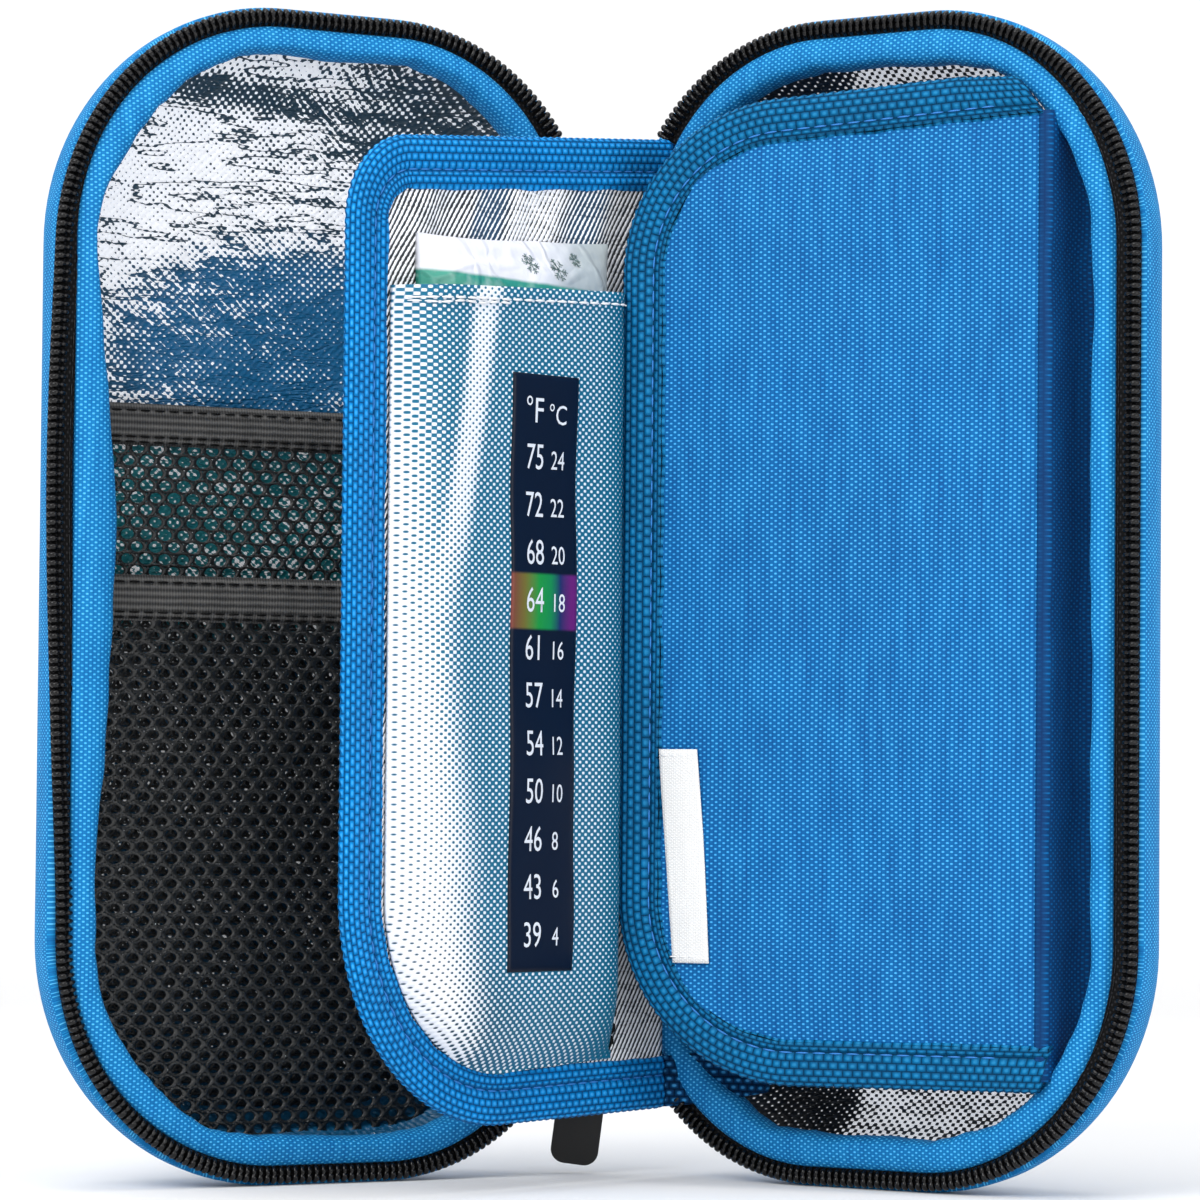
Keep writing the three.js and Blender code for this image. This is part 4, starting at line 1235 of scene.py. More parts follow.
@dataclass
class Half:
    """One zipped half: shell, foil lining, padded facing, zip tape and coil.

    Strays of the zip and swells of the facing are rows of a height, a reach and a
    width for a bulge at the outer side.
    """

    prefix: str
    place: Place
    foil: Any
    finishes: Finishes
    seed: float = 0.0
    brow: float = -0.6
    overlap: float = 0.0
    strays: tuple = ()
    swells: tuple = ()
    lining_offset: float = 5.0
    coil_pitch: float = 1.5
    zip_start: float = 8.9

    def crown(self, edge: np.ndarray, offset: float) -> np.ndarray:
        """Depth of the rounded wall at a distance from the outline.

        Args:
            edge: Distances from the outline.
            offset: How far inside the outer face.

        Returns:
            The depths.
        """
        reach = np.clip(1 - (edge - offset) / (SIZES.crown_run - offset), 0, 1)
        return SIZES.lip_depth + (SIZES.depth - SIZES.lip_depth - offset) * np.sqrt(1 - reach**2)

    def shell(self) -> None:
        """Moulded half shell, its flat back softly rounded into the sides."""
        rows, columns, step = 84, 52, 0.5
        flat = rows_of(*patch(half_rail(0.0, 1.5), rows, columns, 0.85))
        x, z = flat.T
        edge = edge_distance(x, z)
        depth = self.crown(edge, 0.0) + rough(flat, 18.0, 2.0 + self.seed) * 0.25 * np.clip(edge / 10, 0, 1)
        slope = np.column_stack([
            edge_distance(x + step, z) - edge_distance(x - step, z),
            edge_distance(x, z + step) - edge_distance(x, z - step),
        ])
        spread = flat - slope * (SIZES.depth - depth)[:, None]
        faces = grid_faces(rows + 1, columns + 1)
        form = Form(upright(flat, depth), faces, np.column_stack([spread, depth * 0]))
        loop = grid_loop(rows + 1, columns + 1)
        before, size = loop, len(loop)
        for level, height in enumerate(((SIZES.rim_depth + SIZES.lip_depth) / 2, SIZES.rim_depth)):
            here = [len(form.points) + k for k in range(size)]
            form.faces += [(before[k - 1], before[k], here[k], here[k - 1]) for k in range(size)]
            form.points = np.vstack([form.points, upright(flat[loop], height)])
            wall = form.grain[loop] - np.column_stack([slope[loop] * (level + 1) * 0.8, np.zeros(size)])
            form.grain = np.vstack([form.grain, wall])
            before = here
        name = f"{self.prefix}_shell"
        job = Job(f"{name}_cloth", self.prefix, "shell_fabric", (name,), 3.2, toward=(0, 1, 0))
        dress(job, self.place, form, self.finishes.shell)

    def lining(self) -> None:
        """Crumpled foil lining."""
        rows, columns = 150, 92
        flat = rows_of(*patch(half_rail(5.3, 1.5), rows, columns, 0.85))
        depth = self.crown(edge_distance(flat[:, 0], flat[:, 1]), self.lining_offset)
        crumple = np.abs(rough(flat, 15.0, 5.0 + self.seed)) * 0.7
        crumple += np.abs(rough(flat, 6.0, 9.0 + self.seed)) * 0.35
        depth = depth - crumple * np.clip((depth - 8) / 6, 0, 1) + 0.2
        form = cloth(flat, depth, grid_faces(rows + 1, columns + 1))
        name = f"{self.prefix}_foil_lining"
        job = Job(f"{name}_film", self.prefix, "foil", (name,), 0.5, toward=(0, -1, 0))
        piece = dress(job, self.place, form, self.foil)

    def facing(self) -> None:
        """Padded woven facing with a wavy, puckered inner edge."""
        rail = half_rail(0.0, 1.3)
        side = outer_share(rail.points)
        wave = rough(rail.points, 26.0, 11.0 + self.seed) * 0.9
        wave += rough(rail.points, 9.0, 3.0 + self.seed) * 0.35
        for row in self.swells:
            wave += side * bulge(rail.points, *row)
        bend = np.abs(np.gradient(np.arctan2(rail.normals[:, 1], rail.normals[:, 0])))
        pucker = rough(rail.points, 4.2, 7.0 + self.seed) * np.clip(bend * 45, 0.25, 1.0)
        base = np.array([
            (3.9, 3.5), (5.6, 3.1), (5.75, 1.8), (6.3, 1.05), (7.3, 0.75), (8.4, 0.8), (9.3, 1.2),
            (9.9, 2.1), (10.15, 3.4), (10.1, 4.9), (9.8, 6.2), (9.1, 6.9), (7.0, 7.0), (4.2, 6.9),
        ])
        inner = np.clip((base[:, 0] - 6.5) / 3.0, 0, 1) * (base[:, 1] < 6.95)
        outer = np.clip((7.6 - base[:, 0]) / 1.8, 0, 1) * (base[:, 1] < 3.3)
        level = np.abs(rail.normals[:, 1]) ** 1.5
        share = np.maximum(level, self.overlap * side)

        def section(k: int) -> np.ndarray:
            """The facing's section at one point, moved at its outer and its inner edge."""
            profile = base.copy()
            profile[:, 0] -= outer * share[k] * 2.1
            lip = np.minimum(profile[:, 1], 3.1 - 0.9 * share[k])
            profile[:, 1] = np.where(outer > 0.9, lip, profile[:, 1])
            profile[:, 0] += inner * (wave[k] * 0.8 + level[k] * self.brow + pucker[k] * 0.4)
            profile[:, 1] += inner * pucker[k] * 0.45 * (profile[:, 1] < 6)
            return profile

        form, size = sweep(rail, section), len(base)
        run = form.grain[:, 1:2]
        flat = np.repeat(rail.points, size, axis=0) + run * np.repeat(rail.normals, size, axis=0)
        form.grain = np.column_stack([flat, run * 0])
        name = f"{self.prefix}_rim_facing"
        job = Job(f"{name}_cloth", self.prefix, "facing_fabric", (name,))
        dress(job, self.place, form, self.finishes.facing)

    def zip_rail(self, spacing: float) -> Rail:
        """The outline's part that carries the zip.

        Args:
            spacing: Longest step between points.

        Returns:
            The open rail, with the zip's strays.
        """
        rail = half_rail(0.0, spacing)
        side = outer_share(rail.points)
        for row in self.strays:
            rail.points[:] += (side * bulge(rail.points, *row))[:, None] * rail.normals
        carried = rail.arc[rail.points[:, 0] > self.zip_start]
        return rail.between(float(carried[0]), float(carried[-1]))

    def tape(self) -> None:
        """Zip tape, with a sewn line beside the coil."""
        rail = self.zip_rail(1.5)
        base = np.array([
            (0.6, 2.75), (0.75, 2.35), (1.4, 2.3), (4.6, 2.3),
            (5.35, 2.36), (5.45, 2.7), (5.3, 3.05), (0.8, 3.1),
        ])
        name = f"{self.prefix}_zip_tape"
        job = Job(f"{name}_weave", self.prefix, "zip_tape", (name,))
        dress(job, self.place, sweep(rail, lambda k: base), self.finishes.zip_tape)
        path = upright(rail.points + 4.75 * rail.normals, 2.28)
        seam = Job(f"{name}_seam", self.prefix, "zip_tape")
        TAPE_STITCH.sew(seam, self.place, path, -1, self.finishes.coil)

    def coil(self) -> None:
        """Nylon coil: one rounded turn beside the next, on a sewn cord."""
        rail = self.zip_rail(0.25)
        start, end = rail.arc[0], rail.arc[-1]
        count, sides = int(end / self.coil_pitch), 7
        at = start + (np.arange(count) + 0.5) * (end - start) / count
        centre, normal = sample(at, rail.arc, rail.points), sample(at, rail.arc, rail.normals)
        along = np.column_stack([-normal[:, 1], normal[:, 0]])
        angles = np.linspace(0, FULL_TURN, sides, endpoint=False)
        turn = (
            (0.0, 0.5, 0.6), (0.08, 0.95, 0.35), (0.24, 1.25, 0.2), (0.42, 1.05, 0.1),
            (0.5, 0.72, 0.12), (0.62, 0.85, 0.0), (0.85, 0.8, 0.25), (1.0, 0.35, 0.6),
        )
        unit = np.vstack([
            np.column_stack([
                np.cos(angles) * 0.52 * girth,
                np.full(sides, 0.35 + 3.1 * spot),
                1.2 + sink + np.sin(angles) * 0.62 * girth,
            ])
            for spot, girth, sink in turn
        ])
        points, faces = [], []
        for k in range(count):
            flat = centre[k] + unit[:, :1] * along[k] + unit[:, 1:2] * normal[k]
            points.append(upright(flat, unit[:, 2]))
            faces += shifted(tube_faces(len(turn), sides), k * len(unit))
        rows = np.vstack(points)
        name = f"{self.prefix}_zip_coil"
        job = Job(f"{name}_turns", self.prefix, "zip_coil", (name,))
        dress(job, self.place, Form(rows, faces, rows[:, [0, 2, 1]]), self.finishes.coil)

    def build(self) -> None:
        """Makes and dresses the half."""
        self.shell()
        self.lining()
        self.facing()
        self.tape()
        self.coil()


def closed_sheet(xs: np.ndarray, zs: np.ndarray, low: np.ndarray, high: np.ndarray) -> Form:
    """A closed sheet or pad over a grid of x and z.

    Args:
        xs: x of each point, rows by columns.
        zs: z of each point, rows by columns.
        low: Depth of one face, at each point.
        high: Depth of the other face.

    Returns:
        The closed form, its two faces joined round the edge.
    """
    flat, count, loop = rows_of(xs, zs), xs.size, grid_loop(*xs.shape)
    sides = [upright(flat, np.broadcast_to(depth, xs.shape).ravel()) for depth in (high, low)]
    faces = grid_faces(*xs.shape)
    faces += [face[::-1] for face in shifted(faces, count)]
    faces += [(b, a, a + count, b + count) for a, b in zip(loop, loop[1:] + loop[:1])]
    grain = np.column_stack([flat, np.zeros(count)])
    return Form(np.vstack(sides), faces, np.vstack([grain, grain]))


def even_grid(low: tuple[float, float], high: tuple[float, float], steps: tuple[int, int]) -> Any:
    """Grids of x and z over a rectangle, from its lower left to its upper right corner."""
    return np.meshgrid(np.linspace(low[0], high[0], steps[0]), np.linspace(low[1], high[1], steps[1]))


@dataclass(frozen=True)
class Binding:
    """Webbing folded over an edge, with a round fold and a sewn groove on both faces.

    The frayed part of its inner edge begins at an inset, and its knots repeat along
    the fold.
    """

    width: float
    frayed: float
    seed: float
    thickness: float = 2.6
    groove: float = 6.0
    seam_depth: float = 0.98
    knot: float = 1.8

    def section(self) -> np.ndarray:
        """Rows of inset and depth, from the fold over one face and back over the other."""
        width, groove = self.width, self.groove
        face = [
            (0.12, 0.45), (0.55, 0.82), (1.4, 1.02), (2.8, 1.08),
            (groove - 0.6, 0.98), (groove, 0.72), (groove + 0.6, 0.96), (groove + 1.9, 1.05),
            (width - 1.0, 1.0), (width - 0.25, 0.86), (width, 0.55),
        ]
        rows = [(0.0, 0.0), *face, *((inset, -depth) for inset, depth in reversed(face))]
        return np.array(rows) * np.array([1.0, self.thickness / 2])

    def form(self, rail: Rail) -> Form:
        """The webbing along a rail, with knots at its fold.

        Args:
            rail: The edge that it binds.

        Returns:
            The closed form.
        """
        base = self.section()
        wave = rough(rail.points, 7.0, self.seed)

        def section(k: int) -> np.ndarray:
            """The section at one point of the rail."""
            profile = base.copy()
            profile[:, 0] += 0.3 * wave[k] * (base[:, 0] > self.frayed)
            profile[:, 0] += 0.13 * math.sin(rail.arc[k] * FULL_TURN / self.knot) * (base[:, 0] < 0.6)
            return profile

        form = sweep(rail, section)
        form.grain[:, 2] += np.abs(form.points[:, 1]) - self.thickness / 2
        return form

    def sew(self, body: str, place: Place, rail: Rail, front: int, thread: Any) -> list[Any]:
        """Seams in the grooves of both faces.

        Args:
            body: The body that the webbing moves with.
            place: The local frame.
            rail: The part of the edge that is sewn.
            front: 1 or -1, the front face's side of the depth.
            thread: The thread's material.

        Returns:
            The two rows of stitches.
        """
        line, made = rail.points + self.groove * rail.normals, []
        for side in (-1, 1):
            job = Job(f"{body}_binding_seam_{'front' if side == front else 'back'}", body, "webbing")
            path = upright(line, side * self.seam_depth)
            made.append(BINDING_STITCH.sew(job, place, path, side, thread))
        return made


@dataclass(frozen=True)
class NetPocket:
    """One of the cover's two net pockets with its elastic band.

    Its inset is how far inside the outline it is sewn, its bow how far its middle
    stands towards the viewer, and a hole is half its width as a share of the pitch.
    """

    side: str
    depth: float
    top: float
    band_height: float
    bow: float
    inset: float
    hole: float
    yarn: Any
    finishes: Finishes
    place: Place = COVER
    pitch_x: float = 3.65
    pitch_z: float = 2.2

    def limits(self, z: np.ndarray) -> tuple[np.ndarray, np.ndarray]:
        """Left and right limit of the sheet.

        Args:
            z: Heights.

        Returns:
            Distances from the spine on the left and on the right.
        """
        spine, outer = SIZES.spine_radius - self.inset, SIZES.outer_radius - self.inset
        fall = np.maximum(SIZES.spine_radius - z, 0)
        left = SIZES.spine_gap + self.inset + spine - np.sqrt(np.maximum(spine**2 - fall**2, 0))
        fall = np.maximum(SIZES.outer_radius - z, 0)
        right = SIZES.outer - self.inset - outer + np.sqrt(np.maximum(outer**2 - fall**2, 0))
        return left, right

    def net(self) -> Form:
        """Knitted net: rings of yarn round staggered oval holes, drawn in at the hem."""
        low, top = self.inset + 0.6, self.top - self.band_height + 0.6
        pitch, sides = np.array([self.pitch_x, self.pitch_z]), 12
        angles = (np.arange(sides) + 0.5) * FULL_TURN / sides
        unit = np.column_stack([np.cos(angles), np.sin(angles)])
        quarter = np.array([(0.5, 0.17), (0.36, 0.52), (0.14, 0.66)])
        cell = np.vstack([quarter, quarter[::-1] * [-1, 1], -quarter, quarter[::-1] * [1, -1]])
        points, faces = [], []
        for row in range(int((top - low) / self.pitch_z) + 1):
            z = top - (row + 0.5) * self.pitch_z
            left, right = (float(side) for side in self.limits(np.array(z)))
            for column in range(math.floor(left / self.pitch_x) - 1, int(right / self.pitch_x) + 2):
                x = (column + (row % 2) * 0.5) * self.pitch_x
                if min(x - left, right - x) <= 0.3 * self.pitch_x:
                    continue
                spread = self.hole + 0.03 * math.sin(x * 0.7 + z * 0.33)
                faces += shifted(grid_faces(2, sides, False, True), len(points) * 2 * sides)
                points.append(np.array([x, z]) + pitch * np.vstack([cell, unit * [spread, spread + 0.09]]))
        flat = np.vstack(points)
        left, right = self.limits(flat[:, 1])
        flat[:, 0] = np.clip(flat[:, 0], left, right)
        flat[:, 1] = np.clip(flat[:, 1], low, top)
        share = np.clip((flat[:, 0] - left) / np.maximum(right - left, 1), 0, 1)
        lift = np.sin(math.pi * share) * np.clip((flat[:, 1] - low) / 40, 0, 1) ** 0.5
        return cloth(flat, self.depth - lift * (self.bow + rough(flat, 17.0, self.depth) * 0.5), faces)

    def hem(self) -> Any:
        """Turned edge of the net, along the lining."""
        heights = np.arange(self.inset + 1.0, self.top - self.band_height, 1.5)
        left, right = self.limits(heights)
        line = np.vstack([np.column_stack([left, heights])[::-1], np.column_stack([right, heights])])
        ahead = np.gradient(line, axis=0)
        ahead /= np.maximum(np.linalg.norm(ahead, axis=1), 1e-6)[:, None]
        rail = Rail(line, np.column_stack([-ahead[:, 1], ahead[:, 0]]), running(line), False, [])
        section = [(-0.3, -0.1), (0.2, -0.5), (1.1, -0.55), (1.8, -0.2), (1.8, 0.3), (0.9, 0.5), (-0.1, 0.5)]
        form = sweep(rail, lambda k: np.array(section) + [0.0, self.depth])
        job = Job(f"{self.side}_mesh_pocket_hem", "cover", "mesh")
        return dress(job, self.place, form, self.finishes.net)

    def band(self) -> list[Any]:
        """Elastic band on the net's top edge, with its sewn lines."""
        name, low = f"{self.side}_pocket_elastic", self.top - self.band_height
        shares, rise = np.linspace(0, 1, 90), np.linspace(0, 1, 9)[:, None]
        zs = low + self.band_height * np.tile(rise, (1, 90))
        left, right = self.limits(zs)
        xs = left + (right - left) * shares
        middle = self.depth - self.bow * np.sin(math.pi * shares) + 0.12 * np.sin(xs * 0.9)
        swell = 0.63 * np.minimum(1, 4 * rise * (1 - rise)) ** 0.5 + 0.12
        form = closed_sheet(xs, zs, middle - swell, middle + swell)
        job = Job(f"{name}_knit", "cover", "elastic", (name,))
        made = [dress(job, self.place, form, self.finishes.elastic)]
        run = np.linspace(1.5, xs[0, -1] - xs[0, 0] - 1.5, 120) + xs[0, 0]
        face = np.interp(run, xs[4], (middle - swell)[4])
        lines = ((low + 0.55, 0.22), (low + 1.5, -0.08), (self.top - 1.3, -0.08))
        for number, (height, sunk) in enumerate(lines):
            path = np.column_stack([run, face + sunk, np.full(len(run), height)])
            job = Job(f"{name}_seam_{number + 1}", "cover", "elastic")
            made.append(BAND_STITCH.sew(job, self.place, path, -1, self.finishes.dark_thread))
        return made

    def build(self) -> None:
        """Makes the pocket."""
        node = f"{self.side}_mesh_pocket"
        job = Job(f"{node}_net", "cover", "mesh", (node,), 0.42, toward=(0, -1, 0), merge=0.02)
        piece = dress(job, self.place, self.net(), self.yarn)
        made = [self.hem(), *self.band()]
        length = (self.top - self.inset) * MILLI
        area = 0.94 * 0.092 * length


@dataclass
class Page:
    """The page: bound silver panel, gel pack, pocket and thermometer strip.

    Corners are x, z and radius. The gel pack has a middle and how far it reaches to
    each side, the strip a lower left and an upper right corner in x and z.
    """

    finishes: Finishes
    place: Place = PAGE
    corners: tuple = ((0.0, 12.8, 0.0), (86.5, 10.7, 41.0), (86.5, 182.2, 16.0), (0.0, 190.0, 0.0))
    webbing: Binding = Binding(9.5, 8.0, 4.0)
    base: float = 1.1
    rise: float = 6.7
    hinge_side: float = 16.0
    pocket_free: float = 76.7
    pocket_top: float = 160.0
    pocket_fall: float = 3.0
    pocket_round: float = 31.6
    round_top: float = 52.2
    pack_middle: tuple[float, float] = (45.0, 109.5)
    pack_reach: tuple[float, float] = (25.5, 59.5)
    strip_low: tuple[float, float] = (35.1, 38.8)
    strip_high: tuple[float, float] = (52.5, 143.4)
    first_row: float = 128.9
    row_step: float = 8.36

    def swell(self, distance: np.ndarray, run: float) -> np.ndarray:
        """Rise from 0 at an edge to 1 at a distance of the run."""
        return 1 - (1 - np.clip(distance / run, 0, 1)) ** 4

    def pocket_edge(self, z: np.ndarray) -> np.ndarray:
        """The pocket's free edge at a height."""
        below = np.clip(self.round_top - z, 0, self.pocket_round)
        return self.pocket_free - self.pocket_round + np.sqrt(self.pocket_round**2 - below**2)

    def pocket_low(self, x: np.ndarray) -> np.ndarray:
        """The pocket's lower edge, which follows the slant of the page's."""
        return 22.9 - 0.03 * x

    def pocket_height(self, x: np.ndarray, z: np.ndarray) -> np.ndarray:
        """Height of the pocket's inner face over the page's middle plane.

        Args:
            x: Distances from the hinge.
            z: Heights.

        Returns:
            The depths.
        """
        side = np.maximum(np.minimum(x - self.hinge_side, self.pocket_edge(z) - x), 0)
        end = np.maximum(z - self.pocket_low(x), 0)
        return self.base + self.rise * self.swell(side, 14.0) * self.swell(end, 26.0)

    def slack(self, x: np.ndarray, z: np.ndarray) -> np.ndarray:
        """Soft waves of the pocket over the pack."""
        wave = rough_grid(x, z, 19.0, 6.0) * 0.35
        return wave * np.clip((self.pocket_height(x, z) - 2) / 4, 0, 1)

    def binding(self) -> Any:
        """Folded webbing round the page's three free sides, with its seams."""
        rail = make_rail(self.corners, False, 0.45)
        nodes = ("page_binding", "page_lower_corner", "page_upper_corner")
        job = Job("page_binding_webbing", "page", "webbing", nodes)
        piece = dress(job, self.place, self.webbing.form(rail), self.finishes.binding)
        self.webbing.sew("page", self.place, rail, 1, self.finishes.blue_thread)
        return piece

    def panel(self) -> Any:
        """Silver panel with soft folds above the pocket."""
        corners = ((0.3, 21.2, 0.0), (77.9, 19.3, 32.4), (77.9, 173.7, 7.4), (0.3, 181.4, 0.0))
        xs, zs = patch(make_rail(corners, True, 1.5), 110, 50, 0.3)
        folds = np.sin(xs * 0.55 + zs * 0.16) * 0.3 + rough_grid(xs, zs, 13.0, 8.0) * 0.5
        folds *= np.clip((zs - 150) / 12, 0, 1) * np.clip((182 - zs) / 10, 0, 1)
        form = closed_sheet(xs, zs, folds - 0.7, folds + 0.8)
        job = Job("page_panel_film", "page", "page_panel", ("page_panel",))
        return dress(job, self.place, form, self.finishes.page_film)

    def pack(self) -> None:
        """Gel pack with a welded edge, a coloured band and small flakes."""
        across, up = even_grid((-0.5, -0.5), (0.5, 0.5), (46, 90))
        s, t = np.sin(across * math.pi), np.sin(up * math.pi)
        wide, tall = self.pack_reach[0] - 1.3 * (1 - t * t), self.pack_reach[1] - 1.3 * (1 - s * s)
        side, end = wide * (1 - np.abs(s)), tall * (1 - np.abs(t))
        swell, weld = self.swell(side, 14.0) * self.swell(end, 26.0), np.minimum(side, end)
        xs, zs = self.pack_middle[0] + wide * s, self.pack_middle[1] + tall * t
        lumps = rough_grid(xs, zs, 16.0, 3.0) * 0.5 * swell
        high = self.base + 1.2 + 4.9 * swell + lumps - 0.35 * np.exp(-((weld - 3.2) ** 2))
        low = self.base + 1.3 * (1 - swell) * np.clip(weld / 3, 0, 1)
        zs = zs - 0.08 * np.maximum(xs - 40, 0) * np.clip((zs - 110) / 59, 0, 1)
        job = Job("ice_pack_film", "page", "gel_pack", ("ice_pack",))
        form = closed_sheet(xs, zs, low, np.maximum(high, low + 0.4))
        dress(job, self.place, form, self.finishes.pack)

        def height(flat: np.ndarray) -> np.ndarray:
            """The pack's face at rows of x and z, from its nearest point."""
            return high.ravel()[[np.argmin((xs - x) ** 2 + (zs - z) ** 2) for x, z in flat]]

        flakes = self.flake(44.0, 163.2, 1.9, height).plus(self.flake(37.0, 162.6, 2.1, height))
        flakes = flakes.plus(self.flake(31.0, 165.0, 1.3, height))
        job = Job("ice_pack_flakes", "page", "gel_pack", thick=0.05, toward=(0, 1, 0))
        dress(job, self.place, flakes, self.finishes.flakes)

    def flake(self, x: float, z: float, size: float, height: Callable[[np.ndarray], np.ndarray]) -> Form:
        """A six-armed flake printed on the pack.

        Args:
            x: Its place from the hinge.
            z: Its height.
            size: Length of an arm.
            height: The pack's face at rows of x and z.

        Returns:
            The flat form, just above the film.
        """
        points = []
        for arm in range(6):
            turn = math.pi / 3 * arm + 0.2
            ahead = np.array([math.cos(turn), math.sin(turn)])
            side = np.array([-ahead[1], ahead[0]])
            bars = [(ahead * 0.1, ahead * size, side)]
            for share, lean in ((0.45, -1), (0.45, 1), (0.7, -1), (0.7, 1)):
                start, branch = ahead * size * share, ahead * 0.6 + side * lean * 0.8
                bars.append((start, start + branch * size * 0.34, side - ahead * lean))
            for start, end, across in bars:
                across = across / np.linalg.norm(across) * 0.11
                points += [start - across, end - across * 0.6, end + across * 0.6, start + across]
        flat = np.array(points) + np.array([x, z])
        return cloth(flat, height(flat) + 0.12, [tuple(range(k, k + 4)) for k in range(0, len(points), 4)])

    def pocket(self) -> None:
        """Silver pocket over the pack, with a turned hem, an edging cord and stitches."""
        share = 0.5 + 0.5 * np.sin((np.linspace(0, 1, 64) - 0.5) * math.pi)
        up = np.linspace(0, 1, 120)[:, None] ** 1.4
        wide = self.pocket_free - self.hinge_side
        top = self.pocket_top - self.pocket_fall * share
        low = self.pocket_low(self.hinge_side + wide * share)
        zs = low + (top - low) * up
        xs = self.hinge_side + (self.pocket_edge(zs) - self.hinge_side) * share
        inner = self.pocket_height(xs, zs) + self.slack(xs, zs)
        hem = 0.28 * ((top - zs) < 3.1) + 0.25 * np.exp(-(((top - zs - 0.5) / 0.6) ** 2))
        job = Job("page_pocket_film", "page", "pocket_weave", ("page_pocket",))
        form = closed_sheet(xs, zs, inner, inner + 0.5 + hem)
        piece, made = dress(job, self.place, form, self.finishes.pocket_film), []
        seams = ((2.2, 0.0, np.linspace(0.01, 0.99, 160)), (2.9, 0.15, np.linspace(0.62, 0.99, 60)))
        for number, (below, waver, run) in enumerate(seams):
            x = self.hinge_side + wide * run
            z = self.pocket_top - self.pocket_fall * run - below + waver * np.sin(run * 40)
            path = np.column_stack([x, self.pocket_height(x, z) + 0.82, z])
            job = Job(f"page_pocket_seam_{number + 1}", "page", "pocket_weave")
            made.append(HEM_STITCH.sew(job, self.place, path, 1, self.finishes.white_thread))
        z = np.linspace(24.0, 158.5, 300)
        x = np.full(len(z), self.hinge_side + 0.9)
        path = np.column_stack([x, self.pocket_height(x, z) + 0.55, z])
        for name, lift, stitch, thread in (
            ("page_pocket_edge_cord", 0.0, EDGE_CORD, self.finishes.dark_thread),
            ("page_pocket_edge_seam", 0.35, EDGE_STITCH, self.finishes.white_thread),
        ):
            job = Job(name, "page", "pocket_weave")
            made.append(stitch.sew(job, self.place, path + np.array([0.0, lift, 0.0]), 1, thread))
        area = 1.1 * float(np.mean(self.pocket_edge(z) - self.hinge_side) * (z[-1] - z[0])) * MILLI**2

    def strip_height(self, x: np.ndarray, z: np.ndarray) -> np.ndarray:
        """Outer face of the thermometer strip."""
        return self.pocket_height(x, z) + self.slack(x, z) + 0.78

    def thermometer(self) -> None:
        """Thermometer strip with its plain numbers."""
        (left, low), (right, high) = self.strip_low, self.strip_high
        xs, zs = even_grid(self.strip_low, self.strip_high, (25, 106))
        face = self.strip_height(xs, zs)
        edge = np.minimum(np.minimum(xs - left, right - xs), np.minimum(zs - low, high - zs))
        form = closed_sheet(xs, zs, face - 0.3, face - 0.12 * np.exp(-edge / 0.25))
        job = Job("thermometer_strip_film", "page", "thermometer", ("thermometer_strip",))
        dress(job, self.place, form, self.finishes.thermometer)
        rows = ((75, 24), (72, 22), (68, 20), (64, 18), (61, 16), (57, 14),
                (54, 12), (50, 10), (46, 8), (43, 6), (39, 4))
        printed = self.print("°F", 3.5, 137.2, 4.6, 0.92)
        printed = printed.plus(self.print("°C", 14.1, 136.6, 3.6, 0.92, True))
        for number, (warm, cool) in enumerate(rows):
            height, edge = self.first_row - self.row_step * number, 14.0 if cool > 9 else 13.0
            printed = printed.plus(self.print(str(warm), 4.0, height, 4.4, 0.78))
            printed = printed.plus(self.print(str(cool), edge, height - 0.4, 3.2, 0.8, True))
        dress(Job("thermometer_numbers", "page", "thermometer"), self.place, printed, self.finishes.print)

    def print(
        self, words: str, edge: float, middle: float, tall: float, squeeze: float, right: bool = False
    ) -> Form:
        """Printed characters laid on the strip.

        Args:
            words: The characters.
            edge: Distance of their own edge from the strip's left edge.
            middle: Height of their middle.
            tall: Their height.
            squeeze: Their width as a share of the letter shapes' own.
            right: Whether the edge is their right one.

        Returns:
            The open form, just above the strip.
        """
        data = bpy.data.curves.new("words", "FONT")
        data.body, data.resolution_u = words, 3
        carrier = linked("words", data)
        bpy.context.view_layer.update()
        mesh = bpy.data.meshes.new_from_object(carrier)
        flat = np.array([vertex.co[:2] for vertex in mesh.vertices])
        faces = [tuple(face.vertices) for face in mesh.polygons]
        bpy.data.objects.remove(carrier)
        bpy.data.meshes.remove(mesh)
        low, high = flat.min(0), flat.max(0)
        flat = (flat - low) / (high[1] - low[1]) * tall
        start = edge - flat[:, 0].max() * squeeze * right
        x, z = self.strip_high[0] - start - flat[:, 0] * squeeze, middle + flat[:, 1] - tall / 2
        return cloth(np.column_stack([x, z]), self.strip_height(x, z) + 0.05, faces)

    def build(self) -> None:
        """Makes the whole page."""
        binding, panel = self.binding(), self.panel()
        self.pack()
        self.pocket()
        self.thermometer()
        anchor = tuple(float(value) for value in self.place.world(np.array([[40.0, self.base, 100.0]]))[0])
        for piece in list(bpy.data.objects):
            if piece.name.startswith(("page_pocket", "ice_pack", "thermometer")):
                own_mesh(piece)


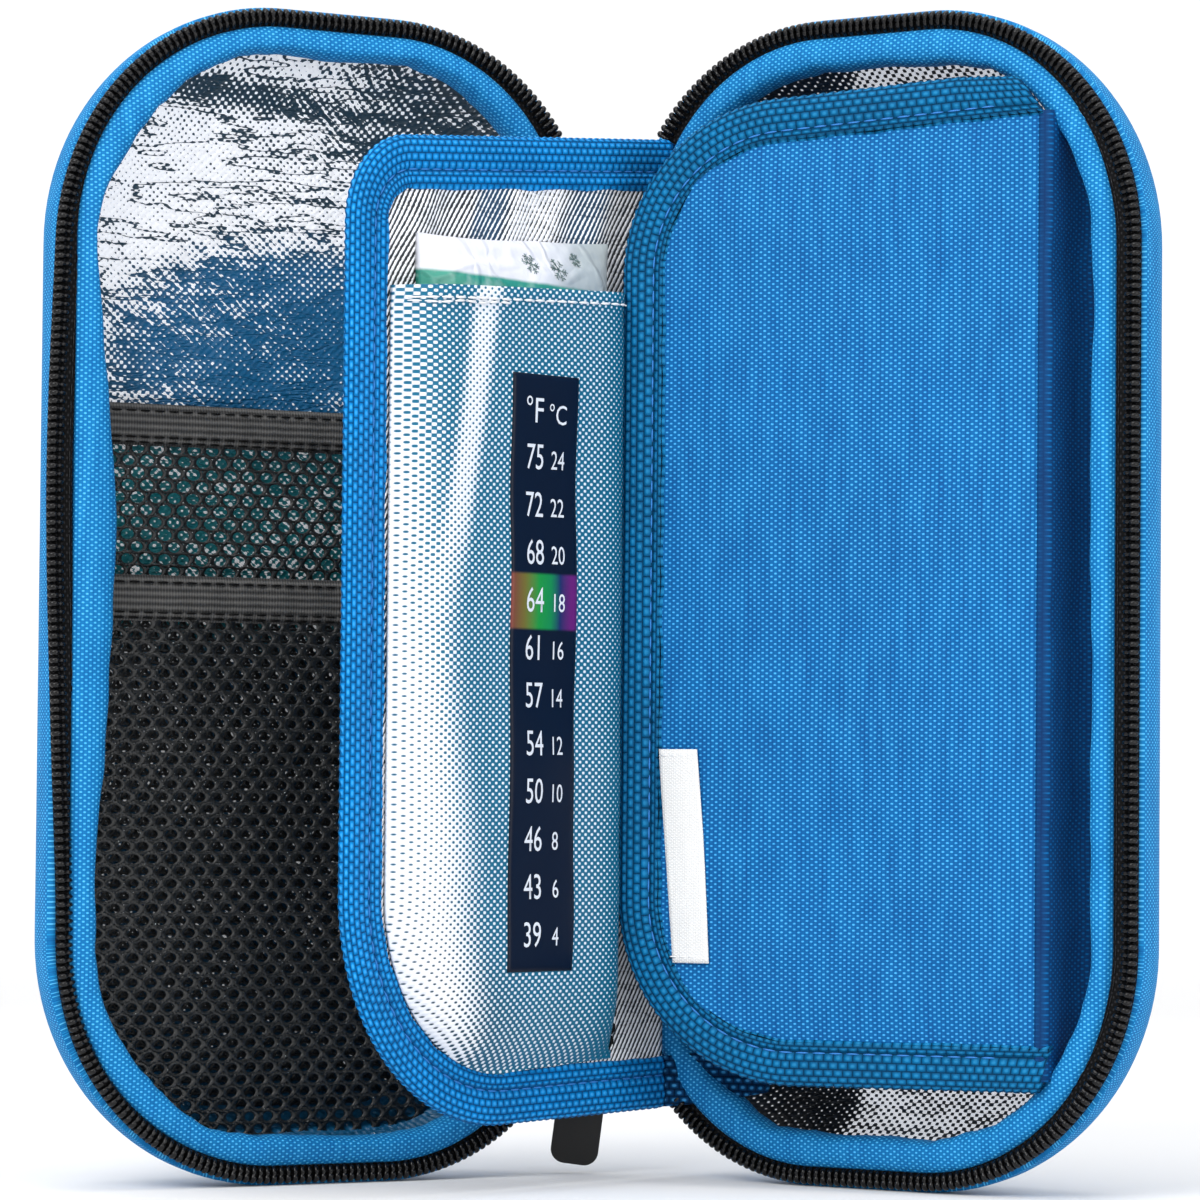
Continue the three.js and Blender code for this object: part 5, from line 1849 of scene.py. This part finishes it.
@dataclass
class Flap:
    """The flap: blue panel, webbing binding, sewn label and the fold behind it.

    Corners are x, z and radius. The label has a lower left and an upper right corner
    in x and z, and the cut is how far from its ends the binding's seam stays away.
    """

    finishes: Finishes
    place: Place = FLAP
    corners: tuple = ((0.0, 197.7, 0.0), (-78.2, 191.9, 31.0), (-78.2, 18.6, 33.0), (2.4, 18.6, 0.0))
    webbing: Binding = Binding(8.4, 7.5, 14.0)
    label_low: tuple[float, float] = (-70.2, 40.0)
    label_high: tuple[float, float] = (-62.8, 78.0)
    cut: float = 9.0

    def binding(self) -> list[Any]:
        """Folded webbing round the flap, cut on a slant at both ends."""
        rail = make_rail(self.corners, False, 0.45)
        form = self.webbing.form(rail)
        run = form.grain[:, 0]
        inset = form.grain[:, 2] - np.abs(form.points[:, 1]) + self.webbing.thickness / 2
        near_top = np.maximum(0, 1 - run / 16) * (1 - inset / 9)
        near_foot = np.maximum(0, 1 - (rail.arc[-1] - run) / 16) * (1 - inset / 9)
        form.points[:, 0] -= near_top * 5.0 + near_foot * 2.5
        form.points[:, 2] -= near_top * 1.4
        job = Job("flap_binding_webbing", "flap", "webbing", ("flap_binding",))
        piece = dress(job, self.place, form, self.finishes.flap_binding)
        sewn = rail.between(self.cut, float(rail.arc[-1]) - self.cut)
        return [piece, *self.webbing.sew("flap", self.place, sewn, -1, self.finishes.blue_thread)]

    def panel(self) -> Any:
        """Woven panel, a little full in the middle."""
        corners = ((-70.7, 26.1, 25.5), (-0.3, 26.1, 0.0), (-0.3, 190.2, 0.0), (-70.7, 184.9, 23.5))
        xs, zs = patch(make_rail(corners, True, 1.5), 110, 56, 0.3)
        edge = np.minimum(np.minimum(xs + 70.6, 0.5 - xs), np.minimum(zs - 26, 190.7 + xs * 0.076 - zs))
        full = 1 - (1 - np.clip(edge / 20, 0, 1)) ** 2
        puff = full * (1.3 + rough_grid(xs, zs, 34.0, 2.0) * 0.4) + rough_grid(xs, zs, 11.0, 9.0) * 0.12
        job = Job("flap_panel_cloth", "flap", "flap_panel", ("flap_panel",))
        return dress(job, self.place, closed_sheet(xs, zs, -0.75 - puff, 0.55 - puff), self.finishes.flap)

    def label(self) -> list[Any]:
        """Bare woven label, sewn at its two ends and a little warped."""
        (left, low), (right, high) = self.label_low, self.label_high
        xs, zs = even_grid(self.label_low, self.label_high, (12, 44))
        over, up = (xs - left) / (right - left), (high - zs) / (high - low)
        warp = 0.22 * np.sin((1 - up) * math.pi * 1.5 + 0.4) * over
        face = -1.76 - over * 0.6 - 0.12 * np.cos((xs - (left + right) / 2) * 0.7) - np.abs(warp) * 0.6
        bent = xs + 0.25 * np.sin(up * math.pi) + (1 - over) * 2.9 * up**1.3 + over * 2.5 * up
        job = Job("flap_label_cloth", "flap", "label", ("flap_label",))
        made = [dress(job, self.place, closed_sheet(bent, zs, face, face + 0.3), self.finishes.label)]
        for number, height in enumerate((low + 1.1, high - 1.1)):
            run = np.linspace(left + 0.4, right - 0.4, 20) + (high - height) / (high - low) * 2.1
            path = np.column_stack([run, np.linspace(-1.84, -2.44, 20), np.full(20, height)])
            job = Job(f"flap_label_seam_{number + 1}", "flap", "label")
            made.append(LABEL_STITCH.sew(job, self.place, path, -1, self.finishes.white_thread))
        return made

    def gusset(self) -> None:
        """Fold of cloth from the flap's hinge down to the lining."""
        radius, middle = SIZES.outer_radius - 9.3, SIZES.outer - SIZES.outer_radius
        heights, shares = np.linspace(20.6, 190.0, 90)[:, None], np.linspace(0, 1, 24)
        over = np.maximum(np.abs(heights - 105.0) - (105.0 - SIZES.outer_radius), 0)
        reach = np.minimum(99.9, middle + np.sqrt(np.maximum(radius**2 - over**2, 1.0)))
        turn = np.clip(shares / 0.25, 0, 1) * math.pi / 2
        drop = np.clip((shares - 0.25) / 0.75, 0, 1)
        xs = 91.6 + 1.5 * np.sin(turn) + np.maximum(reach - 93.1, 0.1) * drop**3.5
        zs = np.broadcast_to(heights, xs.shape)
        depths = np.broadcast_to(-0.5 * np.cos(turn) + 14.0 * drop**0.7, xs.shape).ravel()
        flat = rows_of(xs + 0.4 * rough_grid(xs, zs, 12.0, 5.0) * np.sin(shares * math.pi), zs)
        grain = np.column_stack([depths, flat[:, 1], depths * 0])
        form = Form(upright(flat, depths), grid_faces(*xs.shape), grain)
        nodes, toward = ("flap_gusset",), (-1, -0.5, 0)
        job = Job("flap_gusset_cloth", "compartment", "flap_panel", nodes, 0.7, toward=toward)
        # The gusset cloth is darkened as a painted shade.
        piece = dress(job, COMPARTMENT, form, self.finishes.gusset)

    def build(self) -> None:
        """Makes the whole flap."""
        panel = self.panel()
        sewn = [*self.binding(), *self.label()]
        self.gusset()


@dataclass
class Carriers:
    """Pen loops, the page's hinge cloth and tail, and the cloth over the spine.

    The loops start at a distance from the spine; each has a pitch, a span and a rise
    over the compartment's floor, and each band a lower edge and a height.
    """

    finishes: Finishes
    floor: float = 20.0
    start: float = 30.65
    pitch: float = 17.0
    span: float = 14.0
    rise: float = 9.6
    band_lows: tuple[float, float] = (55.0, 133.0)
    band_height: float = 22.0

    def loops(self) -> None:
        """Two bands of elastic loops sewn to the floor of the compartment."""
        line = [(self.start, self.floor)]
        for loop in range(3):
            left = self.start + loop * self.pitch + (self.pitch - self.span) / 2
            for step in range(19):
                angle = math.pi * step / 18
                rise = self.rise * math.sin(angle) ** 0.5
                line.append((left + self.span / 2 * (1 - math.cos(angle)), self.floor - rise))
        line.append((self.start + 3 * self.pitch, self.floor))
        for node, low in zip(("pen_loops_lower", "pen_loops_upper"), self.band_lows):
            high = low + self.band_height
            form = upright_ribbon(np.array(line), 1.0, low, high, 2.2)
            job = Job(f"{node}_band", "compartment", "elastic", (node,))
            dress(job, COMPARTMENT, form, self.finishes.elastic)
            for seam, shift in enumerate((0.9, 0.0, 0.0, -0.9)):
                x = self.start + seam * self.pitch + shift
                flat = np.column_stack([np.full(30, x), np.linspace(low + 1, high - 1, 30)])
                job = Job(f"{node}_seam_{seam + 1}", "compartment", "elastic")
                path = upright(flat, self.floor - 0.55)
                LOOP_STITCH.sew(job, COMPARTMENT, path, -1, self.finishes.dark_thread)

    def page_hinge(self) -> None:
        """Cloth strip that carries the page."""
        line = np.array([(12.55, 1.25), (12.6, 2.4), (12.68, 3.8), (12.6, 5.2), (12.62, 6.3)])
        form = upright_ribbon(line, 0.75, 43.0, 167.0, 2.5)
        job = Job("page_hinge_strip_cloth", "compartment", "page_panel", ("page_hinge_strip",))
        dress(job, COMPARTMENT, form, self.finishes.tail)

    def tail(self) -> None:
        """Loose end of the page's webbing, sewn down under the flap."""
        shares, rise = np.linspace(0, 1, 30)[:, None], np.linspace(0, 1, 12)
        xs = 12.9 + 19.5 * shares + 0.6 * np.sin(rise * 5 + 1) * shares
        zs = 13.0 + 9.2 * rise + 3.2 * shares**1.3
        depths = 0.4 + 4.4 * np.sin(shares * math.pi / 2) + 0.5 * np.sin(rise * math.pi * 2) * shares
        form = closed_sheet(xs, zs, depths + 0.45, depths - 0.45)
        form.grain[:, 2] = form.grain[:, 1] - 13.0
        dress(Job("page_webbing_tail", "compartment", "webbing"), COMPARTMENT, form, self.finishes.tail)

    def spine(self) -> None:
        """One cloth over the spine, from half to half."""
        shares, heights = np.linspace(-1, 1, 41), np.arange(40.5, 170.0, 1.6)
        points, grain = [], []
        for height in heights:
            for share in shares:
                place, reach = COMPARTMENT if share >= 0 else COVER, abs(share)
                local = np.array([[0.35 + 0.85 * min(reach * 2.2, 1.0), 0.1 + 6.4 * reach**1.25, height]])
                points.append(place.world(local)[0] / MILLI)
                grain.append((share * 8.0, height, 0.0))
        form = Form(np.array(points), grid_faces(len(heights), len(shares)), np.array(grain))
        plain = Place(np.zeros(2), np.array([1.0, 0.0]), np.array([0.0, 1.0]))
        nodes = ("spine_strip", "cover_spine_strip")
        job = Job("spine_cloth", "", "shell_fabric", nodes, 0.7, toward=(0, 1, 0))
        piece = dress(job, plain, form, self.finishes.shell)
        start, end = (half.world(np.array([[1.0, 2.2, 105.0]]))[0] for half in (COMPARTMENT, COVER))
        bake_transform(piece)

    def build(self) -> None:
        """Makes the loops and both hinges."""
        self.loops()
        self.page_hinge()
        self.tail()
        self.spine()


@dataclass
class ZipEnd:
    """Slider, pull tab and the joined end of the zip tape."""

    finishes: Finishes

    def softened(self, node: str, body: str, width: float, material: Any) -> None:
        """A finer piece with the node's form and rounded edges.

        Args:
            node: The node.
            body: The body that it moves with.
            width: Width of the rounding, in millimetres.
            material: Its material.
        """
        mesh = frame["nodes"][node].data.copy()
        work = bmesh.new()
        work.from_mesh(mesh)
        bmesh.ops.remove_doubles(work, verts=work.verts, dist=0.01 * MILLI)
        bmesh.ops.dissolve_limit(work, angle_limit=0.02, verts=work.verts, edges=work.edges)
        work.to_mesh(mesh)
        work.free()
        lay_grain(mesh, np.array([vertex.co for vertex in mesh.vertices]) / MILLI)
        mesh.materials.clear()
        mesh.materials.append(material)
        piece = linked(f"{node}_piece", mesh)
        bevel = piece.modifiers.new("edges", "BEVEL")
        bevel.width, bevel.segments = width * MILLI, 3
        bevel.limit_method, bevel.angle_limit = "ANGLE", 0.6
        normals = piece.modifiers.new("normals", "WEIGHTED_NORMAL")
        normals.keep_sharp = True
        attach(piece, body)
        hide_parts(node)

    def build(self) -> None:
        """Makes the three pieces."""
        self.softened("zip_slider", "compartment", 0.22, self.finishes.slider)
        self.softened("pull_tab", "pull", 0.5, self.finishes.rubber)
        self.softened("zip_end_tape", "compartment", 0.15, self.finishes.zip_tape)


@dataclass(frozen=True)
class Studio:
    """Pale floor and backdrop, soft light and the photograph's camera."""

    floor_size: float = 6.0
    key_power: float = 10.0
    fill_power: float = 5.0
    top_power: float = 5.0
    world_light: float = 0.85

    def backdrop(self) -> None:
        """A sheet of white paper that runs from the floor up behind the case."""
        bend, radius, rise = 0.75, 0.35, 2.6
        line = [(-self.floor_size / 2, 0.0), (bend, 0.0)]
        line += [
            (bend + radius * math.sin(turn), radius * (1 - math.cos(turn)))
            for turn in (math.pi / 2 * k / 12 for k in range(1, 13))
        ]
        line.append((bend + radius, rise))
        half = self.floor_size / 2
        points = [(x, y, z) for x in (-half, half) for y, z in line]
        count = len(line)
        mesh = bpy.data.meshes.new("paper")
        mesh.from_pydata(points, [], [(k, k + count, k + 1 + count, k + 1) for k in range(count - 1)])
        mesh.polygons.foreach_set("use_smooth", [True] * len(mesh.polygons))
        paper = PlainFilm("backdrop_paper", (0.93, 0.93, 0.935), 0.85, 0.01, 3.0)
        mesh.materials.append(paper.make())
        sheet = linked("paper", mesh)

    def lamp(self, name: str, power: float, size: float, place: Vector, aim: Vector) -> None:
        """One soft square lamp.

        Args:
            name: The lamp's name.
            power: Its power in watts.
            size: Side of its face in metres.
            place: Where it hangs.
            aim: The point that it faces.
        """
        data = bpy.data.lights.new(name, "AREA")
        data.energy, data.size = power, size
        made = linked(name, data)
        made.location = place
        made.rotation_euler = (aim - place).to_track_quat("-Z", "Y").to_euler()

    def lights(self) -> None:
        """Key from the upper left, fill from the right, a soft top and a pale world."""
        aim = Vector((0.0, 0.0, 0.105))
        self.lamp("key", self.key_power, 0.7, Vector((-0.55, -0.9, 0.85)), aim)
        self.lamp("fill", self.fill_power, 0.9, Vector((0.75, -0.85, 0.35)), aim)
        self.lamp("top", self.top_power, 0.8, Vector((0.0, -0.1, 1.1)), aim)
        world = bpy.data.worlds.new("pale")
        world.use_nodes = True
        sky = world.node_tree.nodes["Background"]
        sky.inputs["Color"].default_value = (1.0, 1.0, 1.0, 1.0)
        sky.inputs["Strength"].default_value = self.world_light
        bpy.context.scene.world = world
        bpy.context.scene.view_settings.view_transform = "Standard"

    def camera(self) -> None:
        """The camera fitted to the photograph's outlines."""
        data = bpy.data.cameras.new("camera")
        data.sensor_width, data.lens = 36.0, 153.2
        data.clip_start = 0.05
        pitch, yaw, roll = 0.036471, -0.000703, 0.008524

        def turned(first: Vector, second: Vector, angle: float) -> tuple[Vector, Vector]:
            """Two square axes, the first one turned towards the second."""
            cos, sin = math.cos(angle), math.sin(angle)
            return first * cos + second * sin, second * cos - first * sin

        ahead, right = turned(Vector((0.0, 1.0, 0.0)), Vector((1.0, 0.0, 0.0)), yaw)
        ahead, up = turned(ahead, Vector((0.0, 0.0, 1.0)), pitch)
        right, up = turned(right, up, roll)
        eye = linked("camera", data)
        turn = Matrix((right, up, -ahead)).transposed().to_4x4()
        eye.matrix_world = Matrix.Translation((0.001031, -0.91011, 0.07127)) @ turn
        bpy.context.scene.camera = eye

    def build(self) -> None:
        """Sets the whole studio."""
        self.backdrop()
        self.lights()
        self.camera()


def main() -> None:
    """Builds and dresses every assembly in order."""
    logging.basicConfig(level=logging.INFO, format="%(message)s")
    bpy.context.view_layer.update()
    finishes = Finishes()
    Half("compartment", COMPARTMENT, finishes.compartment_foil, finishes).build()
    strays = ((125.0, 45.0, -2.1), (45.0, 22.0, 0.8))
    swells = ((116.0, 17.0, 2.8), (166.0, 16.0, -2.2), (46.0, 20.0, -1.8))
    Half("cover", COVER, finishes.cover_foil, finishes, 20.0, -1.8, 0.95, strays, swells).build()
    LOG.info("halves done")
    NetPocket("rear", 17.2, 139.0, 7.5, 0.6, 7.0, 0.37, finishes.net, finishes).build()
    NetPocket("front", 13.4, 108.2, 8.2, 0.8, 5.0, 0.3, finishes.front_net, finishes).build()
    LOG.info("pockets done")
    Carriers(finishes).build()
    Page(finishes).build()
    LOG.info("page done")
    Flap(finishes).build()
    ZipEnd(finishes).build()
    LOG.info("flap and zip end done")
    Studio().build()


if __name__ == "__main__":
    main()
